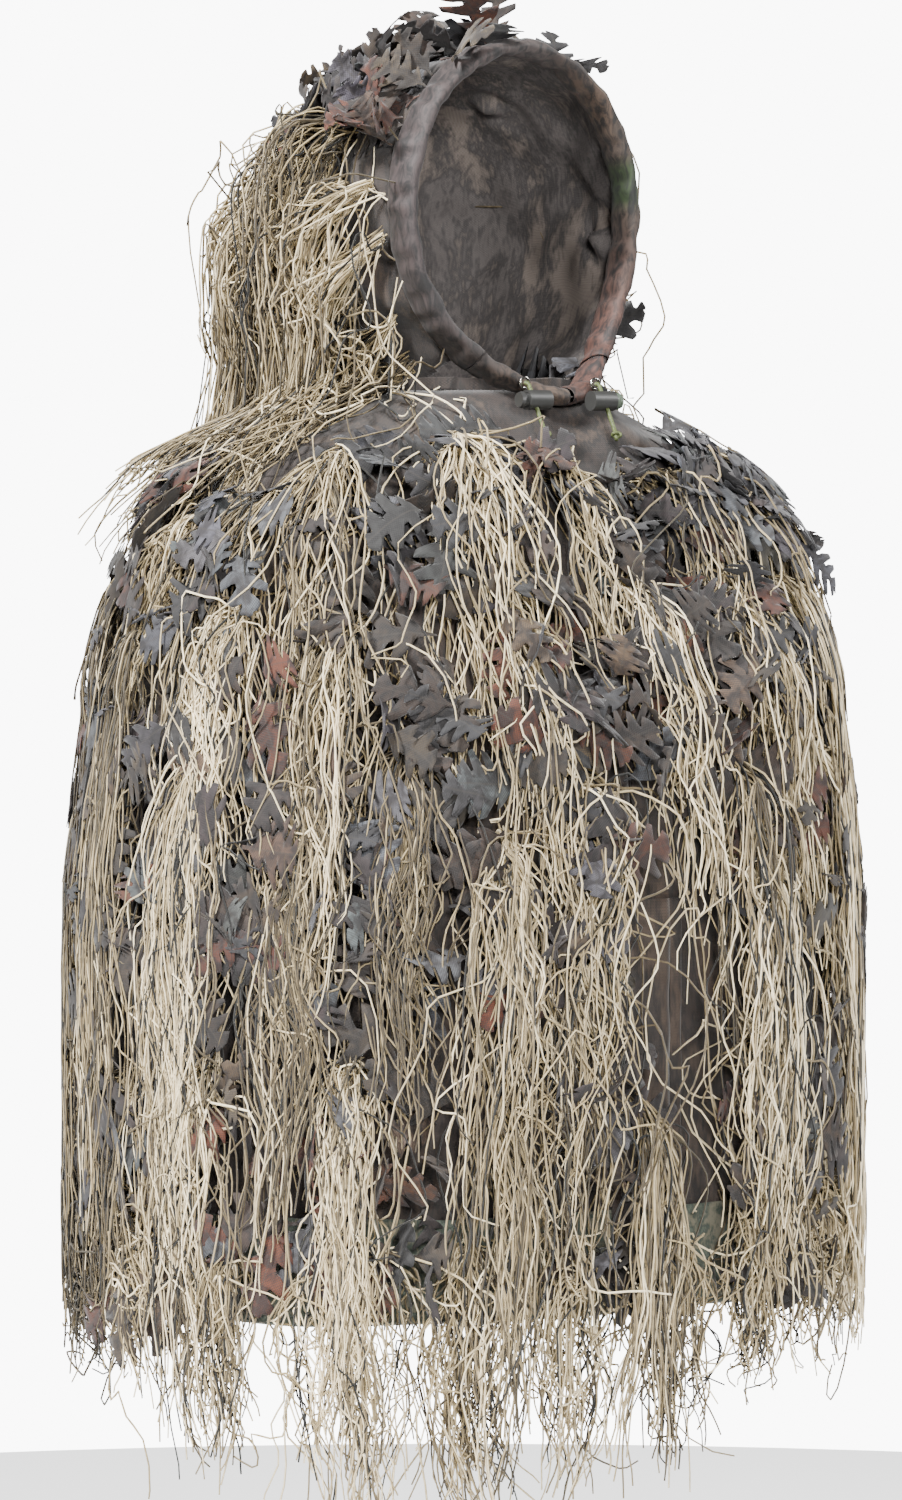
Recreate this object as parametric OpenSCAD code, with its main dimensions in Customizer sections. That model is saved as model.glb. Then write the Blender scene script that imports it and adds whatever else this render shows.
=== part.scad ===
// Hooded camouflage over-garment with rows of yarn and cut leaves.
// Millimetres, +Z up, the wearer faces -Y and the wearer's left is +X.
// The origin is the middle of the neck seam.

/* [Shell] */
// Drop from the neck seam to the hem
hem_drop = 722; // [712:1:740]
// Drop to where the shell starts to hang straight
hip_drop = 390; // [384:1:394]
// Drop to the chest line, where the yoke ends
chest_drop = 230; // [220:1:236]
// Half depth of the shell below the hip
hip_half_depth = 235; // [230:1:240]
// Half depth of the shell at the chest line
chest_half_depth = 215; // [208:1:220]
// Half length of the straight front between the round sides
side_offset = 75; // [70:1:80]
// Thickness of one cloth panel
cloth_t = 3; // [2:0.5:3.5]

/* [Hood] */
// Radius of the crown and the back of the hood
crown_r = 132; // [128:1:134]
// Height of the middle of the crown's ball
crown_z = 160; // [156:1:162]
// Half width of the face opening
face_half_w = 114; // [110:1:115]
// Half height of the face opening
face_half_h = 141; // [139:1:143]
// How far the face opening stands in front of the neck
face_y = 77; // [75:1:80]
// Outer radius of the face band
band_r = 9; // [7:0.5:9.5]
// Radius of the band's tunnel
tunnel_r = 4.5; // [3:0.5:5]
// Width of the tape on the hood's centre seam
seam_tape_w = 12; // [8:1:16]
// Height of the neck band under the hood
collar_h = 10; // [8:1:11]

/* [Drawcord] */
// Diameter of the drawcord
cord_d = 3.5; // [3:0.5:4]
// Straight part of each cord end, from the bend to the knot
cord_end_l = 40; // [38:1:46]
// How far a cord end leans forward from straight down, in degrees
cord_lean = 30; // [28:1:32]

/* [Cord locks] */
// Outer radius of the barrel
barrel_r = 8; // [7.5:0.25:8.5]
// Length of the barrel
barrel_l = 22; // [21:0.5:24]
// Radius of the button's plunger
plunger_r = 5.9; // [5:0.1:6]
// How far the button travels
button_travel = 4; // [3:0.5:4]

/* [Front flap] */
// Half width of the flap
flap_half_w = 28; // [26:1:30]
// Thickness of the flap
flap_t = 2.5; // [2:0.5:3]
// Distance between two snap fasteners
snap_pitch = 55; // [50:1:56]
// Number of snap fasteners
snap_count = 5; // [3:1:5]

/* [Yarn and leaves] */
// Radius of a yarn bundle where it is tied
tie_r = 9; // [7:1:10]
// Radius of a yarn bundle at its loose end
spread_r = 19; // [16:1:19]
// Length of the hem row of yarn
hem_yarn_l = 236; // [220:1:250]
// Length of a leaf
leaf_l = 62; // [50:1:66]
// Width of a leaf
leaf_w = 38; // [30:1:42]

/* [Hidden] */
$fn = 64;
hull_fn = 32;

big = 1000;              // larger than the garment, for cutting
seam_gap = 0.15;         // half the gap at the front opening
fit_gap = 0.3;           // gap between pieces that move past each other
cord_r = cord_d / 2;

// Yoke: height, half width and half depth of the shell at each level
neck_y = -10;            // the neck ring stands a little forward
neck_top = 5;
neck_half_w = 90;
neck_half_d = 84;
shoulder_z = -40;
blade_z = -115;
yoke_z = [neck_top, shoulder_z, blade_z, -chest_drop];
yoke_half_w = [neck_half_w, 195, 264, chest_half_depth + side_offset];
yoke_half_d = [neck_half_d, 120, 170, chest_half_depth];
yoke_shift = [neck_y, 0, 0, 0];

// Half depth and half width of the shell's outside by height
depth_by_z = [
    [-hem_drop, hip_half_depth], [-hip_drop, hip_half_depth], [-chest_drop, chest_half_depth],
    [blade_z, yoke_half_d[2]], [shoulder_z, yoke_half_d[1]], [neck_top, neck_half_d]
];
straight_by_z = [
    [-hem_drop, side_offset], [-chest_drop, side_offset],
    [blade_z, yoke_half_w[2] - yoke_half_d[2]], [shoulder_z, yoke_half_w[1] - yoke_half_d[1]],
    [neck_top, neck_half_w - neck_half_d]
];

// Hood
crown_y = 5;
hood_rim_r = 112;        // radius of the hood where it ends behind the neck
hood_rim_z = 36;
band_low_z = 31.5;       // the face band ends here and the chin bands start
panel_front_y = -face_y + band_r + 0.5;
hood_rim_rise = 11;      // the hood's lower rim rises to the back by this angle
band_rings = 40;

// Chin bands: from the face band's ends to the middle of the throat
chin_gap = 1;              // gap between a face band's end and its chin band
chin_start = 4;            // a chin band runs on straight for this far
chin_left = [[54, -88, 21], [50, -96, 14.5], [43, -103, 9], [35, -108, 5.5], [25.5, -112, 2]];
chin_right = [[-54, -88, 21], [-46, -97, 15], [-32, -103, 10.5], [-15, -108, 6.5], [2, -111, 3.5], [18.5, -112, 2]];

// Drawcord ends: where each leaves its eyelet, and the bend before the straight part
end_x = [46, -24];         // left, right
end_y = -117;
end_z = 11;
bend = [[0, 0, 0], [0, -3, -0.5], [0, -5, -2], [0, -6.5, -4.5]];
lean_dir = [0, -sin(cord_lean), -cos(cord_lean)];
knot_r = 3.6;
lock_at = 11;            // lock's place along the straight part

// Front flap
front_y = -hip_half_depth;
flap_in = 4.2;           // the flap's inner face stands this far off the shell
flap_top = -hip_drop - 8;
flap_bottom = -hem_drop + 25;
flap_pivot_x = flap_half_w + fit_gap;
snap_x = -flap_half_w / 2;
snap_low_z = flap_bottom + 13;

// Rows of yarn: height, number of bundles and shift round the body as a share of the pitch
row_z = [-52, -146, -262, -390, -520, -650];
row_count = [14, 20, 24, 24, 24, 24];
row_shift = [0.5, 0, 0.5, 0, 0.5, 0];
row_gap = 16;            // clear height under a row
clear_of_flap = 64;      // bundles stay this far to each side of the flap

// ---- helpers ----

function unit(v) = v / norm(v);
function ring_side(t, up) = unit(cross(t, up));
function tangent(path, i) = unit(path[min(i + 1, len(path) - 1)] - path[max(i - 1, 0)]);
function ring(path, i, r, sides, up) =
    let (t = tangent(path, i), a = ring_side(t, up), b = cross(a, t))
    [for (k = [0 : sides - 1]) path[i] + r * (cos(360 * k / sides) * a + sin(360 * k / sides) * b)];
function rings(path, r, sides, up) = [for (i = [0 : len(path) - 1]) each ring(path, i, r, sides, up)];
function wall(rows, sides, start, flip) = [
    for (i = [0 : rows - 2], k = [0 : sides - 1])
        let (a = start + i * sides + k, b = start + i * sides + (k + 1) % sides)
        flip ? [a, b, b + sides, a + sides] : [a, a + sides, b + sides, b]
];

// A round cord swept along a path
module cord(path, r, sides, up) {
    n = len(path);
    first = [for (k = [0 : sides - 1]) k];
    last = [for (k = [sides - 1 : -1 : 0]) (n - 1) * sides + k];
    polyhedron(rings(path, r, sides, up), concat([first, last], wall(n, sides, 0, false)), convexity = 8);
}

// A hollow tube swept along a path
module tunnel(path, r_out, r_in, sides, up) {
    n = len(path);
    inner = n * sides;
    last = (n - 1) * sides;
    ends = [
        for (k = [0 : sides - 1]) let (m = (k + 1) % sides) each [
            [k, m, inner + m, inner + k],
            [last + k, inner + last + k, inner + last + m, last + m]
        ]
    ];
    polyhedron(
        concat(rings(path, r_out, sides, up), rings(path, r_in, sides, up)),
        concat(wall(n, sides, 0, false), wall(n, sides, inner, true), ends),
        convexity = 10
    );
}

// A bundle's outline turned about the line from one point to another, domed at its start
module tapered(p, q, r_p, r_q) {
    d = q - p;
    translate(p) rotate([0, acos(d.z / norm(d)), atan2(d.y, d.x)]) rotate_extrude()
        polygon([[0, -0.8 * r_p], [0.6 * r_p, -0.5 * r_p], [r_p, 0], [r_q, norm(d)], [0, norm(d)]]);
}

// A point round the shell at height z, off the cloth by off, at share u of the way round from the front
function round_point(z, off, u) =
    let (
        g = lookup(z, straight_by_z), r = lookup(z, depth_by_z) + off,
        half_turn = PI * r, s = u * (4 * g + 2 * half_turn)
    )
    s < g ? [s, -r, z] :
    s < g + half_turn ? let (a = -90 + (s - g) / half_turn * 180) [g + r * cos(a), r * sin(a), z] :
    s < 3 * g + half_turn ? [2 * g + half_turn - s, r, z] :
    s < 3 * g + 2 * half_turn ?
        let (a = 90 + (s - 3 * g - half_turn) / half_turn * 180) [-g + r * cos(a), r * sin(a), z] :
    [s - 4 * g - 2 * half_turn, -r, z];

// The direction that the cloth faces there, as an angle from +X
function round_angle(z, u) = let (a = round_point(z, 0, u), b = round_point(z, 10, u), d = b - a) atan2(d.y, d.x);

// One quarter of the straight-hanging shell, to the back on the +X side
module quarter(profile, x_start) {
    translate([side_offset, 0, 0]) rotate_extrude(angle = 90) polygon(profile);
    translate([x_start, 0, 0]) rotate([90, 0, 90]) linear_extrude(side_offset - x_start) polygon(profile);
}

module all_round(profile) {
    for (sx = [0, 1], sy = [0, 1]) mirror([sx, 0, 0]) mirror([0, sy, 0]) quarter(profile, 0);
}

shell_profile = [
    [hip_half_depth, -hem_drop], [hip_half_depth, -hip_drop], [chest_half_depth, -chest_drop],
    [chest_half_depth - cloth_t, -chest_drop], [hip_half_depth - cloth_t, -hip_drop],
    [hip_half_depth - cloth_t, -hem_drop]
];

// ---- shell ----

module yoke_level(i, inset, raise) {
    g = yoke_half_w[i] - yoke_half_d[i];
    for (s = [-1, 1]) translate([s * g, yoke_shift[i], yoke_z[i] + raise])
        cylinder(h = 0.01, r = yoke_half_d[i] - inset, $fn = hull_fn * 2);
}

module yoke_solid(inset, raise_first, raise) {
    hull() { yoke_level(0, inset, raise_first); yoke_level(1, inset, raise); }
    hull() { yoke_level(1, inset, raise); yoke_level(2, inset, raise); }
    hull() { yoke_level(2, inset, raise); yoke_level(3, inset, -0.01); }
}

module yoke(side) {
    intersection() {
        difference() {
            yoke_solid(0, 0, 0);
            yoke_solid(cloth_t + 1, 0.5, -cloth_t);
            translate([0, neck_y, 0]) cylinder(h = 50, r = neck_half_d - cloth_t - 1, center = true);
        }
        translate([-big, side > 0 ? 0 : -big, -chest_drop]) cube([2 * big, big, big]);
    }
}

module front_yoke() { color("#5b5048") yoke(-1); }

module back_yoke() { color("#554a43") yoke(1); }

module neck_collar() {
    color("#4c443e") translate([0, neck_y, neck_top + 0.1]) difference() {
        cylinder(h = collar_h, r = neck_half_d);
        translate([0, 0, -1]) cylinder(h = collar_h + 2, r = neck_half_d - cloth_t);
    }
}

module snap_holes(r) {
    for (i = [0 : snap_count - 1])
        translate([snap_x, front_y, snap_low_z + i * snap_pitch])
            rotate([90, 0, 0]) cylinder(h = 20, r = r, center = true);
}

module left_front_panel() {
    color("#5a4f46") mirror([0, 1, 0]) quarter(shell_profile, seam_gap);
}

module right_front_panel() {
    color("#574c44") difference() {
        mirror([1, 0, 0]) mirror([0, 1, 0]) quarter(shell_profile, seam_gap);
        snap_holes(1.7);
    }
}

module back_panel() {
    color("#524840") {
        quarter(shell_profile, 0);
        mirror([1, 0, 0]) quarter(shell_profile, 0);
    }
}

// Tape inside the seam between front and back
module side_tape() {
    tape_t = 1.5;
    x_hip = side_offset + hip_half_depth - cloth_t - fit_gap;
    x_chest = side_offset + chest_half_depth - cloth_t - fit_gap;
    translate([0, 6, 0]) rotate([90, 0, 0]) linear_extrude(12) polygon([
        [x_hip, -hem_drop + 26], [x_hip, -hip_drop], [x_chest, -chest_drop - 4],
        [x_chest - tape_t, -chest_drop - 4], [x_hip - tape_t, -hip_drop], [x_hip - tape_t, -hem_drop + 26]
    ]);
}

module left_side_tape() { color("#3b3a34") side_tape(); }

module right_side_tape() { color("#3b3a34") mirror([1, 0, 0]) side_tape(); }

// Folded band that holds the shell's lower edge
module hem_band() {
    fold = 1.5;
    up = 22;
    slack = 0.1;
    out = hip_half_depth + slack;
    inn = hip_half_depth - cloth_t - slack;
    color("#4a5146") all_round([
        [out, -hem_drop - slack], [out, -hem_drop + up], [out + fold, -hem_drop + up],
        [out + fold, -hem_drop - fold], [inn - fold, -hem_drop - fold], [inn - fold, -hem_drop + up],
        [inn, -hem_drop + up], [inn, -hem_drop - slack]
    ]);
}

// Webbing loop inside the back of the neck band
module hanger_loop() {
    loop_w = 12;
    r = 16;
    t = 2;
    reach = sqrt(pow(neck_half_d - cloth_t, 2) - pow(r + t / 2, 2));
    color("#2f2d29") translate([0, neck_y + reach - 0.05, neck_top + collar_h / 2 + 1.6]) {
        for (s = [-1, 1]) translate([s * r - t / 2, -t, -loop_w / 2]) cube([t, t, loop_w]);
        translate([0, -t, 0]) rotate([0, 0, 180]) rotate_extrude(angle = 180)
            translate([r - t / 2, -loop_w / 2]) square([t, loop_w]);
    }
}

// ---- front closing ----

module underlap() {
    color("#453d37") translate([-flap_half_w - 2, front_y + cloth_t + 1.6, flap_bottom])
        cube([2 * flap_half_w + 4, 2, flap_top - flap_bottom]);
}

module flap_seam_strip() {
    color("#463e38") translate([flap_pivot_x + fit_gap, front_y - flap_in - flap_t, flap_bottom])
        cube([11, flap_in + flap_t - 0.1, flap_top - flap_bottom]);
}

module front_flap() {
    color("#4f453f") difference() {
        translate([-flap_half_w, front_y - flap_in - flap_t, flap_bottom])
            cube([2 * flap_half_w, flap_t, flap_top - flap_bottom]);
        snap_holes(1.7);
    }
}

// Places children at every snap, with local +Z pointing out of the front
module at_snaps() {
    for (i = [0 : snap_count - 1])
        translate([snap_x, front_y, snap_low_z + i * snap_pitch]) rotate([90, 0, 0]) children();
}

module snap_posts() {
    color("#77736a") at_snaps() translate([0, 0, -cloth_t - 0.9]) {
        cylinder(h = 0.8, r = 5);
        cylinder(h = cloth_t + 2, r = 1.5);
    }
}

module snap_studs() {
    color("#8a867c") at_snaps() translate([0, 0, 0.1]) difference() {
        union() {
            cylinder(h = 0.6, r = 5.5);
            cylinder(h = 2.6, r = 3);
        }
        translate([0, 0, -1]) cylinder(h = 2.6, r = 1.6);
    }
}

module snap_sockets() {
    color("#8a867c") at_snaps() translate([0, 0, 1.2]) difference() {
        cylinder(h = 2.9, r = 6);
        translate([0, 0, -1]) cylinder(h = 2.9, r = 3.4);
        cylinder(h = 4, r = 1.6);
    }
}

module snap_caps() {
    color("#3a3733") at_snaps() {
        translate([0, 0, 3.3]) cylinder(h = flap_in + flap_t - 3, r = 1.5);
        translate([0, 0, flap_in + flap_t + 0.1]) cylinder(h = 1, r1 = 7, r2 = 6.6);
        translate([0, 0, flap_in + flap_t + 1.1]) cylinder(h = 0.6, r1 = 6.6, r2 = 4);
    }
}

// ---- hood ----

// The egg outline of the face opening, a = 0 at the throat
function face_edge(a, grow) = [
    (face_half_w + grow) * sin(a) * (1 - 0.2 * pow((1 + cos(a)) / 2, 3)),
    face_half_h - (face_half_h + grow) * cos(a)
];
// The angle at which the band ends above the throat
face_low_a = acos(1 - band_low_z / face_half_h);
face_path = [
    for (i = [0 : band_rings]) let (
        a = face_low_a + (360 - 2 * face_low_a) * i / band_rings,
        p = face_edge(a, 0)
    ) [p.x, -face_y, p.y]
];

module hood_solid(inset) {
    hull() {
        translate([0, crown_y, crown_z]) sphere(r = crown_r - inset, $fn = hull_fn);
        translate([0, -face_y, 0]) rotate([90, 0, 0]) linear_extrude(1)
            polygon([for (a = [0 : 15 : 345]) face_edge(a, -inset)]);
        translate([0, crown_y, hood_rim_z - 30]) cylinder(h = 1, r = hood_rim_r - inset, $fn = hull_fn);
    }
}

module hood_shell() {
    difference() {
        hood_solid(0);
        hood_solid(cloth_t);
        translate([-big, panel_front_y - big, -big]) cube([2 * big, big, 2 * big]);
        translate([0, panel_front_y, hood_rim_z]) rotate([hood_rim_rise, 0, 0])
            translate([-big, -big, -big]) cube([2 * big, 2 * big, big]);
    }
}

module hood_part(x_low, x_high) {
    intersection() {
        hood_shell();
        translate([x_low, -big, -big]) cube([x_high - x_low, 2 * big, 2 * big]);
    }
}

module hood_left_panel() { color("#5d5148") hood_part(seam_tape_w / 2, big); }

module hood_right_panel() { color("#5d5148") hood_part(-big, -seam_tape_w / 2); }

module hood_centre_tape() { color("#3f3a35") hood_part(-seam_tape_w / 2, seam_tape_w / 2); }

module face_band() { color("#6b5d5b") tunnel(face_path, band_r, tunnel_r, 10, [0, 1, 0]); }

module drawcord() { color("#5a6238") cord(face_path, cord_r, 8, [0, 1, 0]); }

// A chin band's path, on from the face band's first end or its last
function chin_path(end, next, points) =
    let (down = unit(end - next))
    concat([end + chin_gap * down, end + (chin_gap + chin_start) * down], points);

module chin_band_left() {
    color("#6f5345") tunnel(chin_path(face_path[0], face_path[1], chin_left), band_r, tunnel_r, 10, [0, 1, 0]);
}

module chin_band_right() {
    path = chin_path(face_path[band_rings], face_path[band_rings - 1], chin_right);
    color("#7a6653") tunnel(path, band_r, tunnel_r, 10, [0, 1, 0]);
}

// ---- drawcord ends and locks ----

function end_path(x) = concat(
    [for (b = bend) [x, end_y, end_z] + b],
    [for (d = [4 : 4 : cord_end_l]) [x, end_y, end_z] + bend[3] + d * lean_dir]
);

module eyelets() {
    color("#8d897d") for (x = end_x) translate([x, end_y + 0.6, end_z]) rotate([90, 0, 0])
        rotate_extrude() translate([4.2, 0]) circle(r = 1.1);
}

module cord_end_left() { color("#5a6238") cord(end_path(end_x[0]), cord_r, 8, [1, 0, 0]); }

module cord_end_right() { color("#5a6238") cord(end_path(end_x[1]), cord_r, 8, [1, 0, 0]); }

// Knots, each flat where the cord goes in
module cord_knots() {
    deep = sqrt(knot_r * knot_r - cord_r * cord_r);
    color("#5a6238") for (x = end_x)
        translate([x, end_y, end_z] + bend[3] + cord_end_l * lean_dir) rotate([-cord_lean, 0, 0]) difference() {
            translate([0, 0, -deep]) sphere(r = knot_r);
            translate([0, 0, knot_r]) cube(2 * knot_r, center = true);
        }
}

// Places a lock's own frame on a cord end, 0 for left: the cord runs along local Z, the button faces outward
module on_cord(i) {
    translate([end_x[i], end_y, end_z] + bend[3] + lock_at * lean_dir)
        rotate([-cord_lean, 0, 0]) mirror([i, 0, 0]) children();
}

cord_hole_r = cord_r + 0.7;
mouth_x = 8;                               // the barrel's open end
floor_x = mouth_x - barrel_l + 2;          // inside of its closed end
plunger_x = -3.2;                          // the plunger's inner end at rest

module barrel() {
    difference() {
        translate([mouth_x - barrel_l, 0, 0]) rotate([0, 90, 0]) cylinder(h = barrel_l, r = barrel_r);
        translate([floor_x, 0, 0]) rotate([0, 90, 0]) cylinder(h = barrel_l, r = plunger_r + fit_gap);
        cylinder(h = 4 * barrel_r, r = cord_hole_r, center = true);
    }
}

module button() {
    slot_low = -cord_r - 0.2;
    slot_high = cord_r + button_travel + 0.3;
    difference() {
        union() {
            translate([plunger_x, 0, 0]) rotate([0, 90, 0])
                cylinder(h = mouth_x + button_travel + 1 - plunger_x, r = plunger_r);
            translate([mouth_x + button_travel + 0.5, 0, 0]) rotate([0, 90, 0])
                cylinder(h = 2.5, r1 = plunger_r + 1, r2 = plunger_r);
        }
        translate([slot_low, -cord_hole_r, -2 * plunger_r])
            cube([slot_high - slot_low, 2 * cord_hole_r, 4 * plunger_r]);
    }
}

module spring() {
    wire_r = 0.4;
    coil_r = 4;
    coils = 4;
    low = floor_x + wire_r + 0.1;
    high = plunger_x - wire_r - 0.1;
    steps = coils * 10;
    cord(
        [for (i = [0 : steps]) let (a = 360 * coils * i / steps)
            [low + (high - low) * i / steps, coil_r * cos(a), coil_r * sin(a)]],
        wire_r, 6, [1, 0, 0]
    );
}

module lock_barrel_left() { color("#20221f") on_cord(0) barrel(); }

module lock_button_left() { color("#5a6357") on_cord(0) button(); }

module lock_spring_left() { color("#b9b9b9") on_cord(0) spring(); }

module lock_barrel_right() { color("#1c1c1c") on_cord(1) barrel(); }

module lock_button_right() { color("#242423") on_cord(1) button(); }

module lock_spring_right() { color("#b9b9b9") on_cord(1) spring(); }

// ---- yarn ----

// One bundle that hangs on the shell from height z to height low
module bundle(z, low, u, off) {
    tapered(round_point(z, tie_r + off, u), round_point(low, spread_r + off, u), tie_r, spread_r);
}

module yarn_row(i, low, off) {
    n = row_count[i];
    for (k = [0 : n - 1]) {
        u = ((k + row_shift[i]) / n) % 1;
        p = round_point(row_z[i], tie_r, u);
        if (row_z[i] > -hip_drop + 40 || abs(p.x) > clear_of_flap || p.y > 0)
            bundle(row_z[i] - tie_r, low, u, off);
    }
}

module yarn_shoulder() { color("#b8a67f") yarn_row(0, row_z[1] + row_gap + 22, 9); }

module yarn_chest() { color("#bba982") yarn_row(1, row_z[2] + row_gap + 4, 5); }

module yarn_waist() { color("#b3a27c") yarn_row(2, row_z[3] + row_gap, 3); }

module yarn_hip() { color("#b09f79") yarn_row(3, row_z[4] + row_gap, 3); }

module yarn_thigh() { color("#ab9a74") yarn_row(4, row_z[5] + row_gap, 3); }

module yarn_hem() { color("#a5946f") yarn_row(5, row_z[5] - hem_yarn_l, 3); }

// Two bundles on the outside of the flap
module yarn_flap() {
    y = front_y - flap_in - flap_t - 3;
    color("#b09f79") for (z = [-560, -632])
        tapered([-6, y - tie_r, z], [-6, y - spread_r + 3, z - 44], tie_r - 2, spread_r - 4);
}

module yarn_hood() {
    ring_r = crown_r + spread_r + 1;
    z_top = 222;
    z_back = 118;                          // loose ends behind the neck stay high, so the hood can tip
    z_side = 48;
    color("#bba982") for (a = [-96 : 24 : 96]) {
        low = abs(a) > 80 ? z_side : z_back;
        dir = [sin(a), cos(a), 0];
        tapered([0, crown_y, z_top] + (ring_r - 8) * dir, [0, crown_y, low] + ring_r * dir, tie_r - 1, spread_r - 3);
    }
}

// ---- leaves ----

// A lobed leaf that grows along +X from its stem, lying in the XY plane
module leaf(l, w) {
    translate([0, 0, -0.6]) linear_extrude(1.2) {
        translate([0, -w * 0.06]) square([l * 0.85, w * 0.12]);
        translate([l * 0.86, 0]) circle(d = w * 0.42);
        for (s = [-1, 1]) {
            translate([l * 0.36, s * w * 0.27]) circle(d = w * 0.46);
            translate([l * 0.62, s * w * 0.24]) circle(d = w * 0.4);
        }
        translate([l * 0.22, -w * 0.2]) square([l * 0.6, w * 0.4]);
    }
}

// Leaves that hang between the bundles of row i, off the cloth by off
module leaf_row(i, off, every) {
    n = row_count[i];
    for (k = [0 : every : n - 1]) {
        u = ((k + row_shift[i] + 0.5) / n) % 1;
        z = row_z[i] + 6;
        p = round_point(z, off, u);
        q = round_point(z - leaf_l, off + 4, u);
        d = q - p;
        if (row_z[i] > -hip_drop + 40 || abs(p.x) > clear_of_flap - 14 || p.y > 0)
            translate(p) rotate([0, 0, round_angle(z, u)])
                rotate([0, 90 + atan2(norm([d.x, d.y]), -d.z) * -1, 0]) leaf(leaf_l, leaf_w);
    }
}

module leaves_chest() { color("#7b6a58") leaf_row(1, 11, 2); }

module leaves_waist() { color("#6a6f78") leaf_row(2, 9, 2); }

module leaves_hip() { color("#8a5a3c") leaf_row(3, 9, 2); }

module leaves_thigh() { color("#6f6258") leaf_row(4, 9, 2); }

// Leaves that stand round the crown of the hood
module leaves_crown() {
    color("#59616b") {
        for (a = [-150 : 50 : 150])
            translate([0, -10, crown_z + crown_r + 3]) rotate([0, 0, a + 90]) translate([22, 0, 0])
                rotate([0, 6, 0]) leaf(leaf_l * 0.8, leaf_w * 0.6);
        translate([0, -20, crown_z + crown_r + 9]) rotate([0, -65, 60]) leaf(leaf_l * 0.4, leaf_w * 0.5);
    }
}

// Leaves at both sides of the throat, beside the hood
module leaves_neck() {
    color("#6a737d") for (s = [-1, 1]) mirror([s > 0 ? 0 : 1, 0, 0]) {
        translate([150, -56, 42]) rotate([0, 78, -30]) leaf(leaf_l * 0.8, leaf_w * 0.8);
        translate([120, -104, 30]) rotate([0, 70, -55]) leaf(leaf_l * 0.8, leaf_w * 0.8);
        translate([86, -132, 6]) rotate([0, 62, -75]) leaf(leaf_l * 0.7, leaf_w * 0.7);
    }
}

front_yoke();
back_yoke();
neck_collar();
left_front_panel();
right_front_panel();
back_panel();
left_side_tape();
right_side_tape();
hem_band();
hanger_loop();
underlap();
flap_seam_strip();
snap_posts();
snap_studs();
front_flap();
snap_sockets();
snap_caps();
yarn_flap();
hood_left_panel();
hood_right_panel();
hood_centre_tape();
face_band();
drawcord();
chin_band_left();
chin_band_right();
eyelets();
cord_end_left();
cord_end_right();
cord_knots();
lock_barrel_left();
lock_button_left();
lock_spring_left();
lock_barrel_right();
lock_button_right();
lock_spring_right();
yarn_hood();
yarn_shoulder();
yarn_chest();
yarn_waist();
yarn_hip();
yarn_thigh();
yarn_hem();
leaves_crown();
leaves_neck();
leaves_chest();
leaves_waist();
leaves_hip();
leaves_thigh();
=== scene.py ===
"""Looks for a hooded camouflage over-garment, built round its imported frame.
Metres, +Z up. The wearer faces -Y, the wearer's left is +X, the origin is the middle of the neck seam."""

import math

import bpy
import numpy as np
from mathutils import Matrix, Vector
from mathutils.bvhtree import BVHTree


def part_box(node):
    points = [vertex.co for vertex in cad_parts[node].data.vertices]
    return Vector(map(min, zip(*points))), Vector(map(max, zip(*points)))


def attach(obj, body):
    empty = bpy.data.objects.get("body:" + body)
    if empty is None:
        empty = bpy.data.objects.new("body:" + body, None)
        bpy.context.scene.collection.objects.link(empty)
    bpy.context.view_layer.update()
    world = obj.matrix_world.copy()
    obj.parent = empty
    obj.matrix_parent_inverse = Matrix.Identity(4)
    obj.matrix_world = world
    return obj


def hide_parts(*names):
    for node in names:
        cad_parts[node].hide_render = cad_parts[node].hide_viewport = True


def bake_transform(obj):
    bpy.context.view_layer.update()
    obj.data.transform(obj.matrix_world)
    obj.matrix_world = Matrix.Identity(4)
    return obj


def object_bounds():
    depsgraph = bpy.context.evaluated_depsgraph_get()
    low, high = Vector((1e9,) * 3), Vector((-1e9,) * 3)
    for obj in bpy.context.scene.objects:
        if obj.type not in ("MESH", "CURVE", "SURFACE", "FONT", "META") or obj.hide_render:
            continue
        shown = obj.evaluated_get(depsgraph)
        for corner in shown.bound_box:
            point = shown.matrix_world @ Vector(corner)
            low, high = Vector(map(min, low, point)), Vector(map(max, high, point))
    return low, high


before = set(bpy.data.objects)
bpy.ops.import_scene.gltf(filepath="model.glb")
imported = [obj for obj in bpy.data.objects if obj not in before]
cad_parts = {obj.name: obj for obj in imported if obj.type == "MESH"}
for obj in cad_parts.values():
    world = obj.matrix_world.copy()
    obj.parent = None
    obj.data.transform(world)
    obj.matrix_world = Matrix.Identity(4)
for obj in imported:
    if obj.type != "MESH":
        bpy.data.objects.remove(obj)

cad_low, cad_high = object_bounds()
MM = 0.001
DOWN = np.array([0.0, 0.0, -1.0])

# ---- Sizes taken from the frame ----

HEM_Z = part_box("left_front_panel")[0].z
CHEST_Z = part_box("front_yoke")[0].z
NECK_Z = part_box("front_yoke")[1].z
HIP_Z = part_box("front_flap")[1].z + 8 * MM
HIP_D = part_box("back_panel")[1].y
HIP_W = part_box("back_panel")[1].x
CHEST_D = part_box("back_yoke")[1].y
CHEST_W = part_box("back_yoke")[1].x
COLLAR_LOW, COLLAR_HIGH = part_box("neck_collar")
COLLAR_R = COLLAR_HIGH.x
COLLAR_Y = (COLLAR_LOW.y + COLLAR_HIGH.y) / 2
BAND_LOW, BAND_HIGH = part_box("face_band")
FACE_Y = (BAND_LOW.y + BAND_HIGH.y) / 2
FLAP_LOW, FLAP_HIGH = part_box("front_flap")

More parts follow.
